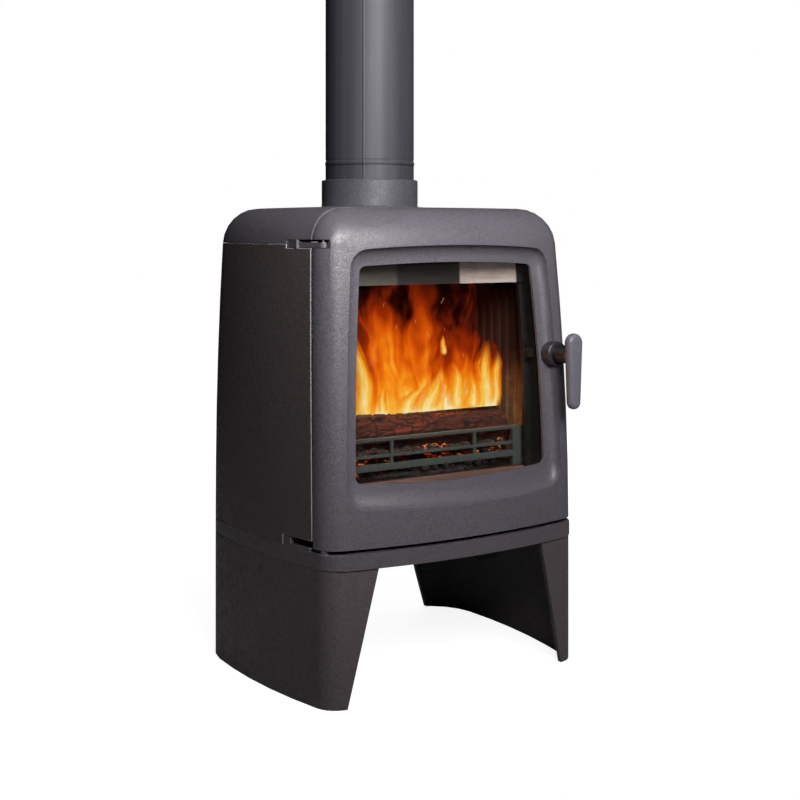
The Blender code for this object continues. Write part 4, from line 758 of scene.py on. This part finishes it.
def mesh_object(name: str, bm: Form, material: Any, body: Body, slot: str) -> Any:
    """Makes a finished piece from a bmesh and rides it on a body.

    Args:
        name: The piece's name.
        bm: Its mesh, which is freed.
        material: Its finish.
        body: What it moves with.
        slot: The record's material slot; not used.

    Returns:
        The object.
    """
    piece = placed(name, mesh_of(name, bm))
    piece.data.materials.append(material)
    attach(piece, body.value)
    return piece


def welded(node: str) -> Form:
    """Copies a node's mesh, with the corners that its faces share joined.

    Args:
        node: The node's name.

    Returns:
        The copy.
    """
    bm = bmesh.new()
    bm.from_mesh(frame["nodes"][node].data)
    bmesh.ops.remove_doubles(bm, verts=bm.verts, dist=WELD)
    return bm


def remeshed(node: str, voxel: float) -> Form:
    """Copies a node's form into an even quad mesh.

    Args:
        node: The node's name.
        voxel: Size of its faces in metres.

    Returns:
        A bmesh of the same form.
    """
    mesh = mesh_of(node + "_copy", welded(node))
    piece = placed(node + "_copy", mesh)
    grid = piece.modifiers.new("grid", "REMESH")
    grid.mode = "VOXEL"
    grid.voxel_size = voxel
    bpy.context.view_layer.update()
    made = bmesh.new()
    made.from_object(piece, bpy.context.evaluated_depsgraph_get())
    bpy.data.objects.remove(piece)
    bpy.data.meshes.remove(mesh)
    made.normal_update()
    return made


def smooth(bm: Form) -> None:
    """Marks every face for smooth shading."""
    for face in bm.faces:
        face.smooth = True


def steps(low: float, high: float, pitch: float) -> Iterator[float]:
    """Walks from one value towards another.

    Args:
        low: The first value.
        high: The end, which isn't reached.
        pitch: The distance between two values.

    Yields:
        Each value.
    """
    while low < high:
        yield low
        low += pitch


@dataclass
class Ironwork:
    """The stove's own solids, each given its finish."""

    front: Colour = tint("545057")
    # The flank and the base are a shade darker than the front: partly their own tone, partly painted shade
    # on the sides.
    flank: Colour = tint("4a4142")
    base: Colour = tint("4e464a")
    plinth: Colour = tint("504a4f")
    inside: Colour = tint("171616")
    brick_clean: float = 0.14
    pipe_joint: float = 0.0645
    # The y beyond which the handle's stem gets painted shade
    stem_painted_shade_y: float = -0.2099

    def castings(self) -> list[Finished]:
        """Gives the finishes of the cast pieces.

        Returns:
            Each finish with the starts of its nodes' names.
        """
        floor_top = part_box("firebox_floor")[1].z
        collar = CastIron("collar_iron", tint("444349"), 0.5, 0.0007, 300.0, contrast=0.25)
        grip = CastIron("handle_iron", tint("625f68"), 0.36, 0.0004, 500.0, painted_shade_y=self.stem_painted_shade_y)
        front = ("door_casting", "top_casting", "upper_hinge_strap")
        panels = ("side_panel", "back_panel", "log", "ember_bed")
        return [
            (CastIron("door_iron", self.front, 0.4, 0.0007), front),
            (CastIron("panel_iron", self.flank, 0.46, 0.0005), panels),
            (CastIron("plinth_iron", self.plinth, 0.42, 0.0007), ("plinth_plate",)),
            (CastIron("base_iron", self.base, 0.48, 0.0006, 300.0), ("base_wall",)),
            (CastIron("firebox_iron", self.inside, 0.5, 0.0006, 300.0), ("front_frame", "grate")),
            # The hearth lip's brown is wear and a painted warm reflection.
            (HearthPlate("hearth_iron", self.inside, tint("9c7970"), floor_top), ("firebox_floor",)),
            (CastIron("guard_iron", tint("484d4b"), 0.36, 0.0004, 500.0), ("log_guard",)),
            (collar, ("flue_collar",)),
            (grip, ("handle_grip",)),
        ]

    def steels(self) -> list[Finished]:
        """Gives the finishes of the steel pieces.

        Returns:
            Each finish with the starts of its nodes' names.
        """
        low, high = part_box("flue_pipe")
        axis = (0.0, (low.y + high.y) / 2)
        black = ("tie_rod", "latch", "air_slide", "air_guide", "ash_pan")
        # Smoke, soot and the painted reflection of the airwash strip
        smoke = (tint("4c4941"), tint("25231f"), tint("b8a8a1"))
        return [
            (
                RolledSteel("fastener_steel", tint("8b8c8e"), 500.0, 0.9, 0.35),
                ("collar_screw", "glass_clip", "spindle_nut", "hinge_pin"),
            ),
            (RolledSteel("blackened_steel", tint("2b2b2d"), 600.0), black),
            (RolledSteel("collar_steel", tint("4a484e"), 400.0, 0.7, 0.3), ("handle_collar",)),
            (PipeSteel("pipe_steel", tint("3c3a41"), axis, low.z + self.pipe_joint), ("flue_pipe",)),
            (AirwashSteel("airwash_steel", *smoke), ("airwash_plate",)),
        ]

    def linings(self) -> list[Finished]:
        """Gives the finishes of the lining, the ropes and the glass.

        Returns:
            Each finish with the starts of its nodes' names.
        """
        glass_low, glass_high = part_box("door_glass")
        brick_low, brick_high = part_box("fire_brick_rear")
        stain = (brick_low.z + self.brick_clean, brick_high.z)
        board = FireBrick("lining_board", tint("94805f"), tint("43241a"), *stain)
        return [
            (board, ("baffle_plate", "fire_brick")),
            (RopeSeal("door_rope", tint("4a4743")), ("door_seal",)),
            (RopeSeal("glass_rope", tint("2c2a29")), ("glass_gasket",)),
            (CeramicGlass("stove_glass", glass_high.x, glass_low.z, glass_high.z), ("door_glass",)),
        ]

    def dress(self) -> None:
        """Gives each node the finish whose name fits it most closely."""
        finishes = {}
        for finish, names in self.castings() + self.steels() + self.linings():
            finishes.update(dict.fromkeys(names, finish.make()))
        for name, node in frame["nodes"].items():
            best = max((key for key in finishes if name.startswith(key)), key=len)
            node.data.materials.clear()
            node.data.materials.append(finishes[best])


@dataclass
class Curves:
    """Smoothly shaded stand-ins for the solids whose rounded faces are made of flats."""

    plain: tuple[str, ...] = ("top_casting", "base_wall_left", "base_wall_right")
    fittings: tuple[str, ...] = ("flue_collar", "flue_pipe", "handle_grip", "handle_collar")
    rubbed_and_highlit: tuple[str, ...] = ("door_casting", "plinth_plate", "side_panel_left", "side_panel_right")
    crease: float = math.radians(38)
    edge: float = 0.0009
    edge_steps: int = 2
    sliver: float = 0.000001
    evenness: int = 60

    def build(self, name: str, bright: Any) -> None:
        """Welds a copy of one solid and shades it smoothly between its real edges.

        Args:
            name: The node.
            bright: Finish of the edges that show wear and a painted highlight.
        """
        node = frame["nodes"][name]
        bm = welded(name)
        bmesh.ops.dissolve_degenerate(bm, edges=bm.edges, dist=self.sliver)
        smooth(bm)
        for edge in bm.edges:
            edge.smooth = edge.is_manifold and edge.calc_face_angle(0.0) < self.crease
        piece = mesh_object(name + "_skin", bm, node.data.materials[0], Body(node["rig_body"]), name)
        worn = piece.modifiers.new("worn", "BEVEL")
        worn.width = self.edge
        worn.segments = self.edge_steps
        worn.limit_method = "ANGLE"
        worn.angle_limit = self.crease
        # The bevelled edges of these solids are painted bright: wear and a painted highlight.
        if name in self.rubbed_and_highlit:
            piece.data.materials.append(bright)
            worn.material = 1
        even = piece.modifiers.new("even", "WEIGHTED_NORMAL")
        even.keep_sharp = True
        even.weight = self.evenness
        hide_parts(name)

    def dress(self) -> None:
        """Builds all the stand-ins."""
        # Lighter iron on the bevelled edges: wear and a painted highlight.
        bright = CastIron("rubbed_iron", tint("8d898f"), 0.34, 0.0004).make()
        for name in self.plain + self.fittings + self.rubbed_and_highlit:
            self.build(name, bright)
            log.info("%s shaded smoothly", name)


@dataclass
class Firewood:
    """The burning logs, each carved from its own solid."""

    voxel: float = 0.0021
    fissure: float = 0.0012
    fissure_grid: tuple[float, float] = (7, 52)
    block: float = 0.0024
    block_grid: tuple[float, float] = (32, 84)
    wander: float = 0.25
    gap: float = 0.13
    fuzz: float = 0.0005
    end_zone: float = 0.02
    end_depth: float = 0.35
    noise_seed: int = 1

    def crack_at(self, at: Vector, seed: float) -> tuple[float, float]:
        """Gives how deep the bark is split at a point.

        Args:
            at: The point in metres.
            seed: Moves the pattern.

        Returns:
            Depth of the long fissures and of the char blocks, from 0 to 1.
        """
        along, around = self.fissure_grid
        long_way = Vector((at.x * along + seed, at.y * around, at.z * around))
        ridges_and_lit_tops = noise.turbulence(long_way, 3, False, noise_basis="PERLIN_ORIGINAL")
        along, around = self.block_grid
        blocks = Vector((at.x * along + seed, at.y * around, at.z * around))
        blocks += noise.noise_vector(at * 45) * self.wander
        near = noise.voronoi(blocks, distance_metric="CHEBYCHEV")[0]
        split = 1 - min((near[1] - near[0]) / self.gap, 1.0)
        return min(max(1.0 - ridges_and_lit_tops * 1.3, 0.0), 1.0), split

    def build(self, node: str, material: Any, seed: float, taper: float) -> None:
        """Carves one log.

        Args:
            node: The solid that it replaces.
            material: Its finish.
            seed: Moves the bark pattern.
            taper: How much thicker its left end is than its middle.
        """
        bm = remeshed(node, self.voxel)
        low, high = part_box(node)
        for vert in bm.verts:
            along = (vert.co.x - low.x) / (high.x - low.x) * 2 - 1
            vert.co.z = low.z + (vert.co.z - low.z) * (1 - taper * along)
        crack = bm.verts.layers.float.new("crack")
        cut = bm.verts.layers.float.new("cut")
        moves = []
        for vert in bm.verts:
            fissure, split = self.crack_at(vert.co, seed)
            end = min(vert.co.x - low.x, high.x - vert.co.x)
            sawn = abs(vert.normal.x) > 0.8 and end < self.end_zone
            shade = self.end_depth if sawn else 1.0
            depth = (self.fissure * fissure + self.block * split) * shade
            vert[crack] = max(split * shade, fissure * 0.6 * shade)
            vert[cut] = 1.0 if sawn else 0.0
            moves.append(vert.normal * (noise.noise(vert.co * 320) * self.fuzz - depth))
        for vert, move in zip(bm.verts, moves):
            vert.co += move
        smooth(bm)
        piece = mesh_object(node + "_wood", bm, material, Body.STOVE, node)
        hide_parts(node)

    def dress(self) -> None:
        """Builds the logs with their finishes."""
        hot = BurningWood("bark_hot", tint("58200f"), tint("170704"), tint("ff5a14"), 1.6).make()
        cool = BurningWood("bark", tint("5c2210"), tint("1b0905"), tint("ff4a10"), 0.5).make()
        rows = (("log_front", cool, 3.0, 0.09), ("log_rear", hot, 8.0, 0.0), ("log_top", hot, 5.0, 0.0))
        # noise_vector follows the clock unless the module is seeded
        noise.seed_set(self.noise_seed)
        for node, finish, seed, taper in rows:
            self.build(node, finish, seed, taper)
            log.info("%s carved", node)


@dataclass
class Embers:
    """The bed of ash with its glowing coals, and a row of them heaped behind the guard."""

    voxel: float = 0.004
    coal: float = 0.0105
    pitch: float = 0.017
    sag: float = 0.006
    lumps: float = 0.005
    jitter: float = 0.004
    heap_y: float = -0.0965
    heap_top: float = 0.363
    heap_drop: float = 0.007
    heap_pitch: float = 0.72
    seed: int = 11

    def build(self) -> None:
        """Builds the lumpy bed and the coals on it as one piece."""
        low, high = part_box("ember_bed")
        bm = remeshed("ember_bed", self.voxel)
        for vert in bm.verts:
            if vert.co.z > low.z + self.voxel:
                vert.co.z -= self.sag + self.lumps * noise.noise(vert.co * 45)
        chance = random.Random(self.seed)
        across = (low.x + self.coal, high.x - self.coal)
        for x in steps(*across, self.pitch):
            for y in steps(low.y + self.coal, high.y - self.coal, self.pitch):
                self.add_coal(bm, Vector((x, y, high.z)), chance)
        for x in steps(*across, self.pitch * self.heap_pitch):
            top = self.heap_top - chance.uniform(0, self.heap_drop)
            self.add_coal(bm, Vector((x, self.heap_y, top)), chance)
        smooth(bm)
        piece = mesh_object("coals", bm, GlowingCoal("coals", 1.5).make(), Body.STOVE, "ember_bed")
        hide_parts("ember_bed")

    def add_coal(self, bm: Form, at: Vector, chance: random.Random) -> None:
        """Adds one coal under a point.

        Args:
            bm: The mesh to add to.
            at: The point over the coal's middle.
            chance: Source of its size and turn.
        """
        size = self.coal * chance.uniform(0.75, 1.12)
        made = bmesh.ops.create_icosphere(bm, subdivisions=2, radius=size)["verts"]
        squash = Matrix.Diagonal((chance.uniform(0.85, 1.2), 1.0, chance.uniform(0.62, 0.8), 1.0))
        angle = chance.uniform(0, 3.1)
        turn = Matrix.Rotation(angle, 4, Vector((chance.random(), 0.4, 1.0)).normalized())
        bmesh.ops.transform(bm, matrix=turn @ squash, verts=made)
        for vert in made:
            vert.co *= 1 + 0.28 * noise.noise(vert.co * 110 + at * 50)
        top = max(vert.co.z for vert in made)
        aside = Vector([chance.uniform(-self.jitter, self.jitter) for _ in range(2)] + [0])
        drop = Vector((0, 0, -top - chance.uniform(0.0, self.jitter)))
        bmesh.ops.translate(bm, vec=at + aside + drop, verts=made)


@dataclass(frozen=True)
class Lick:
    """Where one tongue of flame stands: its foot, height, width and lean."""

    x: float
    y: float
    foot: float
    height: float
    width: float
    lean: float


LICKS = (
    Lick(-0.108, -0.072, 0.404, 0.140, 0.056, -0.014),
    Lick(-0.074, -0.075, 0.406, 0.048, 0.026, 0.003),
    Lick(-0.030, -0.073, 0.404, 0.050, 0.060, 0.034),
    Lick(0.006, -0.075, 0.404, 0.066, 0.070, 0.040),
    Lick(0.040, -0.073, 0.424, 0.054, 0.040, 0.002),
    Lick(0.048, -0.070, 0.494, 0.036, 0.018, -0.005),
    Lick(0.068, -0.076, 0.404, 0.084, 0.052, -0.008),
    Lick(0.100, -0.073, 0.404, 0.060, 0.052, 0.008),
    Lick(0.124, -0.076, 0.404, 0.116, 0.058, 0.006),
    Lick(0.147, -0.073, 0.404, 0.098, 0.044, 0.004),
    Lick(-0.140, -0.074, 0.404, 0.090, 0.046, 0.004),
    Lick(-0.060, -0.020, 0.470, 0.085, 0.040, 0.012),
)


@dataclass(frozen=True)
class Sheet:
    """Where one broad sheet of flame stands, how high its top is, its width, finish and turn."""

    name: str
    y: float
    foot: float
    top: float
    width: float
    fire: Fire
    turn: float = 0.0


SHEETS = (
    Sheet("flame_rear", 0.15, 0.335, 0.594, 0.37, Fire("rear_fire", 3.4, 7.3, 0.6, 0.5, 0.36, 0.2)),
    Sheet(
        "flame_middle", 0.08, 0.36, 0.594, 0.36,
        Fire("middle_fire", 4.2, 2.1, 0.55, 0.35, 0.46, 0.3), 0.04,
    ),
    Sheet("flame_over", 0.008, 0.42, 0.594, 0.34, Fire("over_fire", 4.6, 5.6, 0.5, 0.3, 0.42, 0.2), -0.05),
    Sheet(
        "flame_front", -0.066, 0.405, 0.655, 0.326,
        Fire("front_fire", 5.2, 9.9, 0.42, 0.16, 0.7, 0.24, ragged=0.8, strength=1.12),
    ),
)


@dataclass
class Flames:
    """Flames on thin curved sheets between the logs and the baffle."""

    middle: float = 0.004
    wave: float = 0.006
    sheet_grid: tuple[int, int] = (40, 24)
    lick_grid: tuple[int, int] = (8, 18)
    roof: float = 0.594
    rim: float = 0.001

    def grid(self, columns: int, rows: int) -> Form:
        """Makes a flat grid one unit wide and high, with its UV map.

        Args:
            columns: Faces across.
            rows: Faces up.

        Returns:
            The bmesh, its foot on y = 0.
        """
        bm = bmesh.new()
        bmesh.ops.create_grid(bm, x_segments=columns, y_segments=rows, size=0.5)
        bmesh.ops.translate(bm, vec=(0, 0.5, 0), verts=bm.verts)
        layer = bm.loops.layers.uv.new("UVMap")
        for face in bm.faces:
            for loop in face.loops:
                loop[layer].uv = (loop.vert.co.x + 0.5, loop.vert.co.y)
        return bm

    def sheet(self, flame: Sheet) -> None:
        """Builds one broad sheet of flame.

        Args:
            flame: Its place and finish.
        """
        bm = self.grid(*self.sheet_grid)
        for vert in bm.verts:
            u, v = vert.co.x, vert.co.y
            bend = self.wave * math.sin(u * 7 + v * 3) * (0.3 + v * 0.5)
            vert.co = Vector((u * flame.width, bend, v * (flame.top - flame.foot)))
        bmesh.ops.rotate(bm, cent=(0, 0, 0), matrix=Matrix.Rotation(flame.turn, 3, "Z"), verts=bm.verts)
        bmesh.ops.translate(bm, vec=(self.middle, flame.y, flame.foot), verts=bm.verts)
        smooth(bm)
        mesh_object(flame.name, bm, flame.fire.make(), Body.STOVE, "ember_bed")

    def tongue(self, number: int, lick: Lick) -> Form:
        """Bends one grid into a lick, pointed, bowed to the front and swaying as it rises.

        Args:
            number: Its place in the row, which picks its own part of the UV map.
            lick: Where it stands.

        Returns:
            The bmesh.
        """
        bm = self.grid(*self.lick_grid)
        for vert in bm.verts:
            u, v = vert.co.x, vert.co.y
            waist = math.sin(math.pi * min(v * 0.72 + 0.28, 1.0)) ** 0.7
            sway = 0.12 * lick.width * math.sin(v * 6 + number * 1.7)
            bow = (0.25 - u * u) * lick.width * 0.5
            x = lick.x + u * lick.width * waist + lick.lean * v * v + sway * v
            vert.co = Vector((x, lick.y - bow * waist, min(lick.foot + v * lick.height, self.roof)))
        layer = bm.loops.layers.uv["UVMap"]
        for face in bm.faces:
            for loop in face.loops:
                loop[layer].uv.x = number + min(max(loop[layer].uv.x, self.rim), 1 - self.rim)
        return bm

    def tongues(self) -> None:
        """Builds all the single licks as one piece."""
        whole = bmesh.new()
        whole.loops.layers.uv.new("UVMap")
        for number, lick in enumerate(LICKS):
            part = mesh_of("lick", self.tongue(number, lick))
            whole.from_mesh(part)
            bpy.data.meshes.remove(part)
        smooth(whole)
        mesh_object("flame_tongues", whole, Tongue().make(), Body.STOVE, "ember_bed")

    def build(self) -> None:
        """Builds the sheets from the back to the front, then the licks."""
        for flame in SHEETS:
            self.sheet(flame)
            log.info("%s hung", flame.name)
        self.tongues()
        log.info("tongues set")


@dataclass
class Sparks:
    """Thin bright trails of flying sparks, as one piece."""

    count: int = 11
    seed: int = 4
    rings: int = 6
    sides: int = 6
    radius: float = 0.00028

    def trail(self, bm: Form, chance: random.Random) -> None:
        """Adds one trail: a thin bowed rod that is thickest in its middle.

        Args:
            bm: The mesh to add to.
            chance: Source of its place, direction, bow and length.
        """
        spans = ((-0.13, 0.13), (-0.1, -0.078), (0.46, 0.6))
        at = Vector([chance.uniform(*span) for span in spans])
        way = Vector((chance.uniform(-0.5, 0.5), 0, chance.uniform(0.6, 1.0))).normalized()
        bow = Vector((way.z, 0, -way.x)) * chance.uniform(-0.25, 0.25)
        length = chance.uniform(0.005, 0.016)
        rings = []
        for step in range(self.rings):
            t = step / (self.rings - 1)
            middle = at + way * length * t + bow * length * t * (1 - t) * 2
            radius = self.radius * math.sin(math.pi * (0.1 + 0.8 * t))
            ring = bmesh.ops.create_circle(bm, segments=self.sides, radius=radius)["verts"]
            bmesh.ops.translate(bm, vec=middle, verts=ring)
            rings.append(ring)
        for low, high in zip(rings, rings[1:]):
            for i in range(self.sides):
                after = (i + 1) % self.sides
                bm.faces.new((low[i], low[after], high[after], high[i]))
        bm.faces.new(list(reversed(rings[0])))
        bm.faces.new(rings[-1])

    def build(self) -> None:
        """Builds the trails with their glow."""
        chance = random.Random(self.seed)
        bm = bmesh.new()
        for _ in range(self.count):
            self.trail(bm, chance)
        smooth(bm)
        s = Shader("spark_glow")
        hot = s.span(s.grain(s.place(), 90.0, 1.0), 0.35, 0.6)
        colour = s.blend(hot, tint("f25a14"), tint("ffb56a"))
        finish = s.close(s.shader("Emission", Color=colour, Strength=1.0))
        mesh_object("sparks", bm, finish, Body.STOVE, "ember_bed")


@dataclass(frozen=True)
class Lamp:
    """A soft lamp: its place, aim, side in metres, watts, and the angle that it shines through."""

    name: str
    place: tuple[float, float, float]
    aim: tuple[float, float, float]
    size: float
    power: float
    angle: float = 180.0
    mirrored: bool = True
    height: float | None = None
    colour: Colour = WHITE

    def build(self) -> None:
        """Builds the lamp: square, or a strip that the camera doesn't see if it has a height."""
        data = bpy.data.lights.new(self.name, "AREA")
        data.spread = math.radians(self.angle)
        data.size = self.size
        data.energy = self.power
        data.color = self.colour
        holder = placed(self.name, data)
        holder.location = self.place
        way = Vector(self.aim) - Vector(self.place)
        holder.rotation_euler = way.to_track_quat("-Z", "Y").to_euler()
        holder.visible_glossy = self.mirrored
        if self.height is not None:
            data.shape = "RECTANGLE"
            data.size_y = self.height
            holder.visible_camera = False


# The point that most lamps aim at, in metres
MIDDLE = (0, 0, 0.55)
LAMPS = (
    Lamp("key", (-0.3, -1.35, 1.4), (0, 0, 0.98), 0.9, 15.0, angle=90.0),
    Lamp("top", (0.1, 0.1, 3.2), MIDDLE, 2.4, 3.6),
    Lamp("back", (1.2, 2.0, 1.4), MIDDLE, 1.4, 20.0, mirrored=False),
    Lamp("right", (2.0, 0.7, 0.9), MIDDLE, 1.4, 8.0, mirrored=False),
    Lamp(
        "firelight",
        (0.01, -0.1035, 0.47),
        (0.01, -0.06, 0.4),
        0.28,
        0.45,
        mirrored=False,
        height=0.03,
        colour=(1.0, 0.45, 0.16),
    ),
)


@dataclass
class Studio:
    """Plain pale studio: floor, soft lamps, white surround and the photograph's camera."""

    lens: float = 60.75
    shift_up: float = -0.2096
    heading: float = -32.892
    height: float = 0.6942
    aside: float = -1.2019
    back: float = -1.953
    room: Colour = (0.97, 0.98, 1.0)
    room_light: float = 0.02
    floor_radius: float = 9.0
    floor_drop: float = 0.0004

    def camera(self) -> None:
        """Places the camera by the flue pipe's middle, level, at the photograph's angle."""
        low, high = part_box("flue_pipe")
        middle = (low + high) / 2
        data = bpy.data.cameras.new("camera")
        data.lens = self.lens
        data.shift_y = self.shift_up
        viewer = placed("camera", data)
        viewer.location = (middle.x + self.aside, middle.y + self.back, self.height)
        viewer.rotation_euler = (math.radians(90), 0, math.radians(self.heading))
        bpy.context.scene.camera = viewer

    def surround(self) -> None:
        """Lights the room evenly and shows white behind the stove."""
        s = Shader("studio", world=True)
        room = s.shader("Background", Color=self.room, Strength=self.room_light)
        white = s.shader("Background", Color=WHITE)
        bpy.context.scene.world = s.close(s.fade(s.seen(), room, white))

    def floor(self) -> None:
        """Lays a round floor just under the stove."""
        bm = bmesh.new()
        bmesh.ops.create_circle(bm, cap_ends=True, segments=96, radius=self.floor_radius)
        bmesh.ops.translate(bm, vec=(0, 0, -self.floor_drop), verts=bm.verts)
        piece = placed("floor", mesh_of("floor", bm))
        piece.data.materials.append(StudioFloor().make())

    def build(self) -> None:
        """Sets up the camera, lamps, surround and floor."""
        self.camera()
        for lamp in LAMPS:
            lamp.build()
        self.surround()
        self.floor()
        bpy.context.scene.view_settings.view_transform = "Standard"


def main() -> None:
    """Dresses the frame, adds the fire and sets up the studio."""
    logging.basicConfig(level=logging.INFO, format="%(name)s: %(message)s")
    Ironwork().dress()
    log.info("ironwork dressed")
    Curves().dress()
    Firewood().dress()
    Embers().build()
    log.info("coals laid")
    Flames().build()
    Sparks().build()
    log.info("sparks set")
    Studio().build()
    log.info("studio set")


if __name__ == "__main__":
    main()
